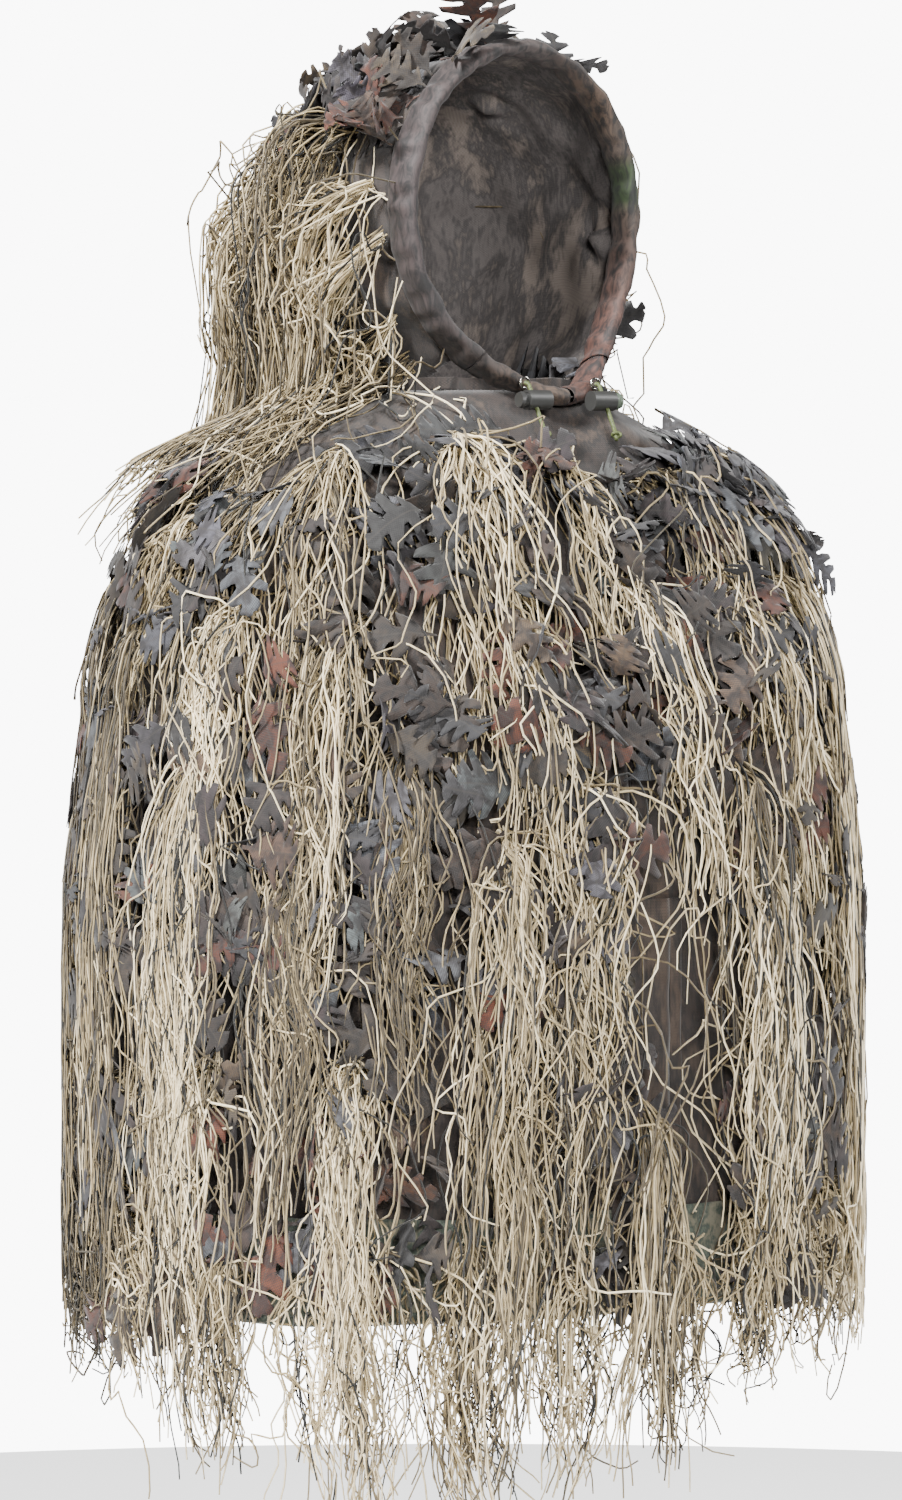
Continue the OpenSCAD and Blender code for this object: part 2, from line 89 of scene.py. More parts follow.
# Half depth and straight length of the shell by height, as in the frame
SHOULDER_Z, BLADE_Z = -40 * MM, -115 * MM
LEVELS = [HEM_Z, HIP_Z, CHEST_Z, BLADE_Z, SHOULDER_Z, NECK_Z]
HALF_DEPTH = [HIP_D, HIP_D, CHEST_D, 170 * MM, 120 * MM, COLLAR_R]
STRAIGHT = [HIP_W - HIP_D, HIP_W - HIP_D, CHEST_W - CHEST_D, 94 * MM, 75 * MM, 6 * MM]
SHIFT = [0, 0, 0, 0, 0, COLLAR_Y]
GRID_Z = np.linspace(HEM_Z - 0.3, NECK_Z, 800)


def rounded(values, reach=0.03):
    """A level table as a smooth curve over GRID_Z."""
    n = int(reach / (GRID_Z[1] - GRID_Z[0]))
    window = np.hanning(2 * n + 1)
    curve = np.interp(GRID_Z, LEVELS, values)
    curve = np.concatenate([np.full(n, curve[0]), curve, 2 * curve[-1] - curve[-2:-n - 2:-1]])
    return np.convolve(curve, window / window.sum(), "valid")


DEPTH_CURVE, STRAIGHT_CURVE, SHIFT_CURVE = rounded(HALF_DEPTH), rounded(STRAIGHT), rounded(SHIFT)
SLOPE_CURVE = -np.gradient(DEPTH_CURVE, GRID_Z)

# The drawcord's ends
CORD_D = 3.5 * MM
CORD_X = {"left": 46 * MM, "right": -24 * MM}
END_Y, END_Z, END_L = -117 * MM, 11 * MM, 40 * MM
STRAND_SIDES = 3

# The hood
BAND_R = 9 * MM
FACE_W, FACE_H = (BAND_HIGH.x - BAND_R) * 1.015, (BAND_HIGH.z - BAND_R) / 2
THROAT = np.array([21 * MM, -112 * MM, 0.0])
HOOD_DEEP = 214 * MM
CROWN = np.array([0, 5 * MM, 160 * MM])


def smooth(a, b, x):
    x = np.clip((x - a) / (b - a), 0, 1)
    return x * x * (3 - 2 * x)


def unit(v):
    return v / np.maximum(np.linalg.norm(v, axis=-1, keepdims=True), 1e-9)


def ripple(p, seed, size, terms=7):
    """A smooth field from about -1 to 1 over points p, with bumps of that size."""
    rng = np.random.default_rng(seed)
    total = 0
    for _ in range(terms):
        k = unit(rng.normal(size=3)) * 2 * math.pi / (size * rng.uniform(0.7, 1.5))
        total = total + np.sin(p @ k + rng.uniform(0, 7))
    return total / math.sqrt(terms)


# ---- The shell's surface ----

def profile(z):
    """The shell at heights z: its straight length, half depth, shift and slope."""
    return [np.interp(z, GRID_Z, c) for c in (STRAIGHT_CURVE, DEPTH_CURVE, SHIFT_CURVE, SLOPE_CURVE)]


def round_point(z, u, off=0.0):
    """Points on the shell and the ways they face. u is the share of the way round from the centre front."""
    z, u, off = np.broadcast_arrays(z, u, off)
    g, r, shift, slope = profile(z)
    r = r + off
    u = u % 1.0
    side = np.where(u < 0.5, 1.0, -1.0)
    s = np.where(u < 0.5, u, 1 - u) * (4 * g + 2 * math.pi * r)
    a = np.clip((s - g) / r, 0, math.pi)
    x = np.where(s < g, s, g + r * np.sin(a)) - np.where(a >= math.pi, s - g - math.pi * r, 0)
    points = np.stack([side * x, -r * np.cos(a) + shift, z + slope * 0], -1)
    facing = unit(np.stack([side * np.sin(a), -np.cos(a), slope], -1))
    return points, facing


def shell_gap(p):
    """How far points lie outside the shell, and the way out of it."""
    g, r, shift, slope = profile(p[:, 2])
    flat = np.stack([np.sign(p[:, 0]) * np.maximum(np.abs(p[:, 0]) - g, 0), p[:, 1] - shift], -1)
    far = np.linalg.norm(flat, axis=1)
    steep = 1 / np.sqrt(1 + slope ** 2)
    gap = (far - r) * steep + np.maximum(p[:, 2] - NECK_Z, 0)
    way = unit(np.stack([flat[:, 0] / far, flat[:, 1] / far, slope], -1))
    return gap, way


def garment_gap(p):
    """How far points lie outside the shell or the hood, whichever is nearer, and the way out."""
    a, way_a = shell_gap(p)
    b, way_b = hood_gap(p)
    nearer = a < b
    return np.where(nearer, a, b), np.where(nearer[:, None], way_a, way_b)


def hood_point(t, v):
    """Points on the hood. t runs round the face opening from the throat (0) by the wearer's left to the top
    (pi) and on to the throat; v runs from the opening (0) to the back of the head (1)."""
    t, v = np.broadcast_arrays(np.asarray(t, float), np.asarray(v, float))
    low = (1 + np.cos(t)) / 2
    deep = np.sin(v * math.pi / 2)
    power = 2.8 + 2.2 * low
    scale = (1 - np.minimum(deep ** power, 1)) ** (1 / power)
    square = 1 - 0.5 * smooth(0, 0.35, v) * low ** 0.7
    side = np.sin(t)
    x = (FACE_W + 5 * MM * smooth(0, 0.3, v)) * np.sign(side) * np.abs(side) ** square * scale
    x = x * (1 - 0.2 * low ** 3 * (1 - v) ** 2)
    tip = low ** 8 * (1 - v) ** 3
    middle = FACE_H + 10 * MM * v
    y = FACE_Y + HOOD_DEEP * deep + tip * (THROAT[1] - FACE_Y)
    z = middle - (FACE_H - 3 * MM * smooth(0, 0.3, v)) * np.cos(t) * scale
    return np.stack([x + tip * THROAT[0], y, z], -1)


# From the opening to the back of the head, closer together where the cloth closes
HOOD_V = np.concatenate([np.linspace(0, 0.96, 58), 1 - np.geomspace(0.04, 1e-5, 14)[1:]])[:, None]


def hood_tree():
    """The hood's surface as a search tree."""
    t = np.linspace(-math.pi, math.pi, 140)[None, :]
    p = hood_cloth_points(t, HOOD_V)
    faces = grid_faces(*p.shape[:2])
    return BVHTree.FromPolygons(p.reshape(-1, 3).tolist(), faces.tolist())


def outward(at, normal):
    """The normal, turned away from the middle of the hood."""
    return -normal if normal.dot(at - HOOD_MIDDLE) < 0 else normal


def hood_gap(p):
    """How far points lie outside the hood, and the way out of it. Those far from the hood get 1 m."""
    gap, way = np.full(len(p), 1.0), np.tile([0.0, 0.0, 1.0], (len(p), 1))
    near = (p[:, 2] > -0.04) & (np.abs(p[:, 0]) < 0.22) & (np.abs(p[:, 1]) < 0.24)
    for i in np.flatnonzero(near):
        at, normal, _, far = HOOD_TREE.find_nearest(p[i])
        normal = outward(at, normal)
        side = 1 if (Vector(p[i]) - at).dot(normal) > 0 else -1
        gap[i], way[i] = side * far, normal
    return gap, way


# ---- Mesh helpers ----

def add_object(name, me, material):
    me.materials.append(material)
    ob = bpy.data.objects.new(name, me)
    bpy.context.collection.objects.link(ob)
    return ob


def add_mesh(name, verts, faces, material, uv=None, attributes=None):
    """A mesh object from an array of points and an array of quads. uv holds one pair for each corner."""
    verts, faces = np.asarray(verts, np.float32).reshape(-1, 3), np.asarray(faces, np.int32)
    me = bpy.data.meshes.new(name)
    me.vertices.add(len(verts))
    me.vertices.foreach_set("co", verts.ravel())
    me.loops.add(faces.size)
    me.loops.foreach_set("vertex_index", faces.ravel())
    me.polygons.add(len(faces))
    me.polygons.foreach_set("loop_start", np.arange(0, faces.size, faces.shape[1], dtype=np.int32))
    me.polygons.foreach_set("use_smooth", np.ones(len(faces), bool))
    if uv is not None:
        me.uv_layers.new(name="cut").data.foreach_set("uv", np.asarray(uv, np.float32).ravel())
    for key, values in (attributes or {}).items():
        kind, field = ("FLOAT_VECTOR", "vector") if np.ndim(values) == 2 else ("FLOAT", "value")
        me.attributes.new(key, kind, "POINT").data.foreach_set(field, np.asarray(values, np.float32).ravel())
    me.update()
    me.validate()
    return add_object(name, me, material)


def grid_faces(rows, columns, closed=False):
    """Quads over a grid of points; closed joins the last column to the first."""
    i, j = np.meshgrid(np.arange(rows - 1), np.arange(columns if closed else columns - 1), indexing="ij")
    k = (j + 1) % columns
    i, below = i * columns, (i + 1) * columns
    return np.stack([i + j, i + k, below + k, below + j], -1).reshape(-1, 4)


def thicken(ob, thick, offset=-1):
    solid = ob.modifiers.new("thickness", "SOLIDIFY")
    solid.thickness, solid.offset = thick, offset
    return solid


def add_cloth(name, points, material, thick=1.2 * MM, keep=None, closed=False, back=None):
    """A sheet of cloth over a grid of points, with a little thickness. keep(centres) picks the faces; back is
    the material of its other side."""
    faces = grid_faces(*points.shape[:2], closed)
    flat = points.reshape(-1, 3)
    if keep is not None:
        faces = faces[keep(flat[faces].mean(1))]
        used, faces = np.unique(faces, return_inverse=True)
        flat, faces = flat[used], faces.reshape(-1, 4)
    ob = add_mesh(name, flat, faces, material)
    solid = thicken(ob, thick, 0)
    if back:
        ob.data.materials.append(back)
        solid.material_offset = 1
    return ob


def tubes(paths, radius, sides, taper=0.75):
    """Points and quads of round strands along paths, an array of strands by points."""
    n, m, _ = paths.shape
    tangent = unit(np.gradient(paths, axis=1))
    across = unit(np.cross(tangent, np.array([0.31, 0.85, 0.42])))
    over = np.cross(tangent, across)
    angle = (np.arange(sides) * 2 * math.pi / sides)[None, None, :, None]
    thin = 1 - (1 - taper) * np.linspace(0, 1, m) ** 4
    r = (np.broadcast_to(radius, n)[:, None] * thin)[..., None, None]
    ring = across[:, :, None] * np.cos(angle) + over[:, :, None] * np.sin(angle)
    verts = paths[:, :, None] + r * ring
    one = grid_faces(m, sides, closed=True)
    faces = (np.arange(n) * m * sides)[:, None, None] + one
    return verts.reshape(-1, 3), faces.reshape(-1, 4)


def add_strands(name, paths, radius, tones, material):
    """Many loose strands as one mesh, with the tone of each."""
    verts, faces = tubes(paths, radius, STRAND_SIDES)
    each = paths.shape[1] * STRAND_SIDES
    return add_mesh(name, verts, faces, material, attributes={"tone": np.repeat(tones, each)})


def add_rope(name, path, radius, material, sides=10):
    """One round cord with closed ends."""
    path = np.asarray(path, float)
    verts, faces = tubes(path[None], radius, sides, taper=1)
    tips = [path[k] - unit(path[near] - path[k]) * radius * 0.5 for k, near in ((0, 1), (-1, -2))]
    start, tip = len(verts) - sides, len(verts)
    caps = [(k, (k + 1) % sides, tip) for k in range(sides)]
    caps += [(start + (k + 1) % sides, start + k, tip + 1) for k in range(sides)]
    me = bpy.data.meshes.new(name)
    me.from_pydata(np.concatenate([verts, tips]).tolist(), [], faces.tolist() + caps)
    me.shade_smooth()
    return add_object(name, me, material)


# ---- Materials ----

class Nodes:
    """A short way to build a node material."""

    def __init__(self, name, roughness=0.9, **inputs):
        self.mat = bpy.data.materials.new(name)
        self.mat.use_nodes = True
        self.tree = self.mat.node_tree
        self.shader = self.tree.nodes["Principled BSDF"]
        self.shader.inputs["Roughness"].default_value = roughness
        for key, value in inputs.items():
            self.shader.inputs[key.replace("_", " ")].default_value = value

    def add(self, kind, links=None, **settings):
        """links maps an input's name or number to a socket or a value."""
        node = self.tree.nodes.new(kind)
        for key, value in settings.items():
            setattr(node, key, value)
        for key, value in (links or {}).items():
            if isinstance(value, bpy.types.NodeSocket):
                self.tree.links.new(value, node.inputs[key])
            else:
                node.inputs[key].default_value = value
        return node

    def place(self, scale=(1, 1, 1), turn=(0, 0, 0)):
        where = self.add("ShaderNodeTexCoord").outputs["Object"]
        return self.add("ShaderNodeMapping", {"Vector": where, "Scale": scale, "Rotation": turn}).outputs[0]

    def noise(self, vector, scale, detail=4, distortion=0.0, rough=0.55):
        return self.add("ShaderNodeTexNoise", {"Vector": vector, "Scale": scale, "Detail": detail,
                                               "Distortion": distortion, "Roughness": rough}).outputs["Fac"]

    def ramp(self, value, stops):
        node = self.add("ShaderNodeValToRGB", {"Fac": value})
        while len(node.color_ramp.elements) < len(stops):
            node.color_ramp.elements.new(0.5)
        for element, (at, colour) in zip(node.color_ramp.elements, stops):
            element.position = at
            element.color = (*colour, 1)
        return node.outputs["Color"]

    def step(self, value, low, high):
        """Black up to low, white from high."""
        return self.ramp(value, [(low, (0, 0, 0)), (high, (1, 1, 1))])

    def math(self, operation, a, b=0.0, c=0.0):
        return self.add("ShaderNodeMath", {0: a, 1: b, 2: c}, operation=operation).outputs[0]

    def mix(self, share, a, b, kind="MIX"):
        node = self.add("ShaderNodeMix", {0: share, 6: a, 7: b}, data_type="RGBA", blend_type=kind)
        return node.outputs[2]

    def attribute(self, name, field="Fac"):
        return self.add("ShaderNodeAttribute", attribute_name=name).outputs[field]

    def finish(self, colour, height=None, strength=0.4, distance=0.5 * MM):
        self.tree.links.new(colour, self.shader.inputs["Base Color"])
        if height is not None:
            bump = self.add("ShaderNodeBump",
                            {"Height": height, "Strength": strength, "Distance": distance})
            self.tree.links.new(bump.outputs[0], self.shader.inputs["Normal"])
        return self.mat


def mesh_holes(n, vector, pitch):
    """A net pattern, 1 on the threads and 0 in the holes."""
    split = n.add("ShaderNodeSeparateXYZ", {0: vector})
    waves = [n.math("SINE", n.math("MULTIPLY", split.outputs[k], 2 * math.pi / pitch)) for k in range(3)]
    crossed = n.math("MULTIPLY", n.math("ADD", waves[0], waves[1]), waves[2])
    return n.math("MULTIPLY_ADD", crossed, 0.25, 0.5)


def printed_cloth(name, stops, size=0.05, stretch=(1, 1, 0.35), pitch=2.2 * MM, dark=0.5, sheen=0.15):
    """Cloth with a bark-like print and a fine net."""
    n = Nodes(name, roughness=0.85, Sheen_Weight=sheen)
    where = n.place()
    long = n.place(stretch)
    print_a = n.noise(long, 1 / size, 5, 1.2)
    print_b = n.noise(long, 3.1 / size, 4, 0.6)
    print_c = n.noise(n.place((2.2, 2.2, 0.5)), 9 / size, 2)
    value = n.math("MULTIPLY_ADD", print_b, 0.45, n.math("MULTIPLY", print_a, 0.75))
    value = n.math("MULTIPLY_ADD", print_c, 0.25, n.math("SUBTRACT", value, 0.12))
    colour = n.ramp(value, stops)
    net = mesh_holes(n, where, pitch)
    colour = n.mix(n.math("MULTIPLY", n.math("SUBTRACT", 1.0, net), dark), colour, (0.012, 0.01, 0.01, 1))
    return n.finish(colour, net, 0.5, 0.4 * MM)


# The shell's dark bark print, with its colours pushed darker still to stand in for the deep shade in the gaps
# under the yarn and leaves: partly print, partly painted shade.
BARK_PRINT_AND_SHADE = [(0.3, (0.002, 0.002, 0.002)), (0.42, (0.009, 0.006, 0.005)), (0.52, (0.028, 0.019, 0.015)),
        (0.6, (0.009, 0.007, 0.006)), (0.74, (0.06, 0.04, 0.028))]
# The hood's inner side: print colours made brighter to stand in for light shining through the sheer mesh, which
# is painted light.
LIT_INSIDE = [(0.3, (0.014, 0.012, 0.012)), (0.42, (0.055, 0.048, 0.046)), (0.52, (0.1, 0.087, 0.082)),
          (0.6, (0.045, 0.04, 0.039)), (0.72, (0.17, 0.14, 0.12))]
DARK_LEAF = [(0.3, (0.006, 0.009, 0.008)), (0.45, (0.03, 0.042, 0.036)), (0.53, (0.085, 0.1, 0.075)),
             (0.6, (0.03, 0.045, 0.035)), (0.72, (0.14, 0.13, 0.09))]
TAPE = [(0.3, (0.012, 0.011, 0.009)), (0.6, (0.035, 0.03, 0.025)), (0.8, (0.06, 0.05, 0.04))]


def yarn_material():
    n = Nodes("yarn", roughness=0.85, Sheen_Weight=0.1)
    where = n.place()
    tone = n.attribute("tone")
    fleck = n.noise(where, 160, 3)
    value = n.math("MULTIPLY_ADD", n.math("SUBTRACT", fleck, 0.5), 0.22, tone)
    # The ramp's dark end holds the black strands, and also the strands darkened as painted shade where they lie
    # close to the garment.
    colour = n.ramp(value, [
        (0.0, (0.004, 0.004, 0.003)), (0.09, (0.008, 0.007, 0.005)), (0.12, (0.035, 0.027, 0.012)),
        (0.35, (0.065, 0.046, 0.021)), (0.6, (0.37, 0.285, 0.145)), (0.9, (0.95, 0.81, 0.54))])
    ply = n.noise(where, 900, 2)
    return n.finish(colour, ply, 0.35, 0.5 * MM)


def leaf_material():
    n = Nodes("cut_leaf", roughness=0.8, Sheen_Weight=0.1)
    tint = n.attribute("tint", "Vector")
    uv = n.add("ShaderNodeUVMap", uv_map="cut").outputs[0]
    patch = n.noise(n.place(), 75, 5, 0.8)
    colour = n.mix(n.step(patch, 0.4, 0.58), tint, n.mix(1.0, tint, (0.2, 0.17, 0.17, 1), "MULTIPLY"))
    split = n.add("ShaderNodeSeparateXYZ", {0: uv})
    per_thread = 2 * math.pi / (2.6 * MM)
    threads = [n.math("SINE", n.math("MULTIPLY", split.outputs[k], per_thread)) for k in (0, 1)]
    net = n.math("MULTIPLY_ADD", n.math("MULTIPLY", threads[0], threads[1]), 0.5, 0.5)
    holes = n.math("MULTIPLY", n.math("POWER", net, 1.6), 0.92)
    colour = n.mix(holes, colour, (0.015, 0.014, 0.014, 1))
    vein = n.math("LESS_THAN", n.math("ABSOLUTE", split.outputs[1]), 0.8 * MM)
    colour = n.mix(n.math("MULTIPLY", vein, 0.35), colour, (0.03, 0.025, 0.02, 1))
    return n.finish(colour, net, 0.5, 0.3 * MM)


def band_material():
    n = Nodes("band_cloth", roughness=0.7, Sheen_Weight=0.05)
    tint = n.attribute("tint", "Vector")
    grain = n.noise(n.place((1, 1, 0.4)), 120, 6, 1.0, 0.7)
    fine = n.noise(n.place(), 1400, 2)
    dark = n.mix(1.0, tint, (0.025, 0.021, 0.022, 1), "MULTIPLY")
    light = n.mix(1.0, tint, (0.3, 0.275, 0.27, 1), "MULTIPLY")
    colour = n.mix(n.step(grain, 0.4, 0.6), dark, light)
    return n.finish(colour, fine, 0.25, 0.3 * MM)


def braid_material():
    n = Nodes("braided_cord", roughness=0.6)
    where = n.place(turn=(0.5, 0.4, 0))
    plait = n.add("ShaderNodeTexVoronoi", {"Vector": where, "Scale": 900.0}).outputs["Distance"]
    colour = n.ramp(plait, [(0.0, (0.13, 0.16, 0.045)), (0.6, (0.055, 0.07, 0.02))])
    return n.finish(colour, plait, 0.6, 0.4 * MM)


def moulded_material(name, base, worn):
    n = Nodes(name, roughness=0.42)
    fine = n.noise(n.place(), 700, 3)
    soft = n.noise(n.place(), 60, 3)
    edge = n.add("ShaderNodeNewGeometry").outputs["Pointiness"]
    wear = n.step(edge, 0.5, 0.56)
    colour = n.mix(n.math("MULTIPLY", wear, 0.5), n.ramp(soft, [(0.3, base), (0.8, worn)]), (*worn, 1))
    return n.finish(colour, fine, 0.15, 0.2 * MM)


def metal_material(name, base, dull, roughness=0.32):
    n = Nodes(name, roughness=roughness, Metallic=1.0)
    scratch = n.noise(n.place((1, 6, 1)), 300, 5)
    return n.finish(n.ramp(scratch, [(0.3, dull), (0.7, base)]), scratch, 0.1, 0.1 * MM)


M = {
    "shell": printed_cloth("printed_mesh", BARK_PRINT_AND_SHADE, pitch=2.4 * MM),
    "lit_inside": printed_cloth("hood_inside_lit", LIT_INSIDE, size=0.07, stretch=(1, 1, 0.5), pitch=2.0 * MM, dark=0.4,
                            sheen=0.0),
    "hem": printed_cloth("hem_cloth", DARK_LEAF, size=0.022, stretch=(1, 1, 1), pitch=1.2 * MM, dark=0.2),
    "tape": printed_cloth("woven_tape", TAPE, size=0.01, stretch=(1, 1, 1), pitch=1.4 * MM, dark=0.6),
    "yarn": yarn_material(),
    "leaf": leaf_material(),
    "band": band_material(),
    "cord": braid_material(),
    "lock": moulded_material("lock_plastic", (0.012, 0.012, 0.012), (0.035, 0.035, 0.033)),
    "lock_cap": moulded_material("lock_cap_plastic", (0.05, 0.065, 0.048), (0.12, 0.15, 0.11)),
    "steel": metal_material("spring_steel", (0.7, 0.7, 0.68), (0.4, 0.4, 0.39)),
    "snap": metal_material("snap_metal", (0.36, 0.34, 0.3), (0.14, 0.13, 0.12)),
    "eyelet": metal_material("eyelet_metal", (0.75, 0.73, 0.68), (0.35, 0.33, 0.3), 0.22),
}


def piece(ob, body, slot, *nodes):
    """Puts a made piece on its body and hides the CAD nodes it stands for. slot is not used. With no body its
    transform is baked into its points."""
    if nodes:
        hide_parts(*nodes)
    if body:
        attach(ob, body)
    else:
        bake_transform(ob)


# ---- Cloth shells ----

def drape(z, u):
    """How far the shell's folds stand out or in."""
    p, _ = round_point(z, u)
    low = smooth(SHOULDER_Z, HIP_Z, z)
    turn = 2 * math.pi * u
    folds = np.sin(11 * turn + 1.3) * 0.5 + np.sin(17 * turn + 0.4 + 2 * z) * 0.35 + np.sin(7 * turn) * 0.4
    flat_front = 1 - np.exp(-(((u + 0.5) % 1 - 0.5) / 0.035) ** 4)
    return (7 * MM * folds * low + 2.5 * MM * ripple(p, 3, 0.07)) * flat_front


def shell_grid(z_high, z_low, u_low, u_high, rows, columns, off=0.0):
    z = np.linspace(z_high, z_low, rows)[:, None]
    u = np.linspace(u_low, u_high, columns)[None, :]
    return round_point(z, u, off + drape(z, u))[0]


def quarter_round(z):
    """A quarter of the way round the shell at height z."""
    g, r, _, _ = profile(z)
    return float(g + math.pi * r / 2)


def cloth_shells():
    hip = quarter_round(HEM_Z)
    lap = 6 * MM
    slit = 1.5 * MM / (4 * hip)
    specs = [
        ("left_front_cloth", "left_front_panel", slit, 0.25, hip, 80),
        ("right_front_cloth", "right_front_panel", -0.25, -slit, hip, 80),
        ("back_cloth", "back_panel", 0.25, 0.75, 2 * hip, 150),
    ]
    for name, node, low, high, width, columns in specs:
        ob = add_cloth(name, shell_grid(CHEST_Z + lap, HEM_Z, low, high, 60, columns), M["shell"])
        piece(ob, "jacket", "lower_mesh", node)
    for name, node, low in (("front_yoke_cloth", "front_yoke", -0.25), ("back_yoke_cloth", "back_yoke", 0.25)):
        ob = add_cloth(name, shell_grid(NECK_Z, CHEST_Z - lap, low, low + 0.5, 50, 120, 1.5 * MM), M["shell"])
        piece(ob, "jacket", "printed_mesh", node)


def hem():
    """The band folded over the lower edge."""
    up = 24 * MM
    turn = [(0, up), (2.4 * MM, up * 0.5), (2.6 * MM, 0), (0, -2.4 * MM), (-2.6 * MM, 0), (-2.4 * MM, up * 0.5),
            (-2.0 * MM, up)]
    u = np.linspace(0, 1, 320, endpoint=False)
    rows = []
    for off, rise in turn:
        points, _ = round_point(HEM_Z, u, off + drape(np.full_like(u, HEM_Z + 1 * MM), u))
        points[:, 2] += rise + 2 * MM * ripple(points, 8, 0.16)
        rows.append(points)
    ob = add_cloth("hem_cloth", np.array(rows), M["hem"], 0.8 * MM, closed=True)
    piece(ob, "jacket", "hem_cloth", "hem_band")
    facing = shell_grid(HEM_Z + 80 * MM, HEM_Z + 3 * MM, 0, 1, 14, 320, 3.4 * MM)
    inside = add_cloth("hem_facing", facing, M["hem"], 0.8 * MM)
    piece(inside, "jacket", "hem_cloth")


def collar():
    a = np.linspace(0, 2 * math.pi, 120, endpoint=False)
    z = np.linspace(COLLAR_LOW.z, COLLAR_HIGH.z, 14)
    rows = []
    for k, level in enumerate(z):
        r = COLLAR_R - 1.5 * MM + 1.5 * MM * np.sin(9 * a) * k / 14
        rows.append(np.stack([r * np.sin(a), COLLAR_Y - r * np.cos(a), level + 1.2 * MM * np.sin(5 * a)], -1))
    ob = add_cloth("collar_cloth", np.array(rows), M["shell"], 1.4 * MM, closed=True)
    piece(ob, "jacket", "collar_cloth", "neck_collar")


def strip(name, low, high, body, node, seed):
    """A flat strip of cloth in a box's middle XZ plane, with slight waves towards its side edges."""
    x, z = np.meshgrid(np.linspace(low.x, high.x, 14), np.linspace(high.z, low.z, 60))
    p = np.stack([x, np.full_like(x, (low.y + high.y) / 2), z], -1)
    edge = np.abs((x - (low.x + high.x) / 2) / (high.x - low.x)) * 2
    p[..., 1] += 0.7 * MM * ripple(p, seed, 0.035) * edge
    ob = add_cloth(name, p, M["shell"])
    piece(ob, body, "lower_mesh", node)


def side_tapes():
    for u, node in ((0.25, "left_side_tape"), (0.75, "right_side_tape")):
        low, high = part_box(node)
        y, z = np.meshgrid(np.linspace(-6 * MM, 6 * MM, 5), np.linspace(high.z, low.z, 60))
        at, _ = round_point(z, u, drape(z, np.full_like(z, u)) - 2.2 * MM)
        at[..., 1] = y
        ob = add_cloth(node + "_cloth", at, M["tape"], 0.8 * MM)
        piece(ob, "jacket", "seam_tape", node)


def hang_loop():
    low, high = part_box("hanger_loop")
    r = (high.x - low.x) / 2 - 1 * MM
    a = np.linspace(0, math.pi, 24)
    centre_y = high.y - 2 * MM
    line = np.stack([r * np.cos(a), centre_y - r * np.sin(a)], -1)
    line = np.concatenate([[[r, high.y]], line, [[-r, high.y]]])
    rows = [np.column_stack([line, np.full(len(line), z)]) for z in np.linspace(low.z, high.z, 5)]
    ob = add_cloth("hang_loop_webbing", np.array(rows), M["tape"], 1.6 * MM)
    piece(ob, "jacket", "webbing", "hanger_loop")


# ---- Hood ----

def hood_cloth_points(t, v):
    """The hood's surface with its creases."""
    p = hood_point(t, v)
    inside = smooth(0, 0.12, v) * (1 - smooth(0.93, 1, v))
    out = unit(p - CROWN)
    soft = 3.2 * MM * ripple(p, 21, 0.09) + 1.4 * MM * ripple(p, 22, 0.035)
    pulls = 1.8 * MM * np.sin(16 * t + 5 * v) * (1 - smooth(0, 0.5, v)) * smooth(0, 0.05, v)
    a, b = np.array([58, 70, 262]) * MM, np.array([118, -45, 118]) * MM
    along = np.clip(((p - a) @ (b - a)) / ((b - a) @ (b - a)), -0.05, 1.05)[..., None]
    far = np.linalg.norm(p - (a + along * (b - a)), axis=-1)
    dart = -7 * MM * np.exp(-(far / (5 * MM)) ** 2) + 4 * MM * np.exp(-((far - 13 * MM) / (6 * MM)) ** 2)
    return p + out * ((soft + pulls + dart) * inside)[..., None]


HOOD_OUT = -1  # the side of the hood's cloth whose mesh faces outwards


def off_neck(centres):
    """Faces of the hood that aren't over the neck's hole."""
    x, y = centres[:, 0] / (COLLAR_R + 1 * MM), (centres[:, 1] - COLLAR_Y) / (COLLAR_R - 1 * MM)
    aside = (np.abs(centres[:, 0]) > 57 * MM) | (np.abs(centres[:, 1] + 9 * MM) > 56 * MM)
    return (x * x + y * y > 1) | (centres[:, 2] > 45 * MM) | aside


def hood():
    for side, which in ((1, "left"), (-1, "right")):
        t = np.linspace(0.002, math.pi, 150)[None, :] * side
        # The inner side gets the brightened inside print: painted light for the light coming through the sheer
        # mesh.
        faces = (M["shell"], M["lit_inside"]) if side * HOOD_OUT > 0 else (M["lit_inside"], M["shell"])
        ob = add_cloth(f"hood_{which}_cloth", hood_cloth_points(t, HOOD_V), faces[0], 1.0 * MM, keep=off_neck,
                       back=faces[1])
        piece(ob, None, "printed_mesh", f"hood_{which}_panel")
    # The tape over the seam between them
    v = np.linspace(0.02, 0.99, 120)[:, None]
    half = 6 * MM
    t = math.pi + np.linspace(-1, 1, 7)[None, :] * half / FACE_W
    over = hood_cloth_points(t, v)
    over += unit(over - CROWN) * 1.6 * MM
    over[..., 0] = np.linspace(half, -half, 7)[None, :]
    ob = add_cloth("hood_seam_tape", over, M["tape"], 0.8 * MM)
    piece(ob, None, "seam_tape", "hood_centre_tape")


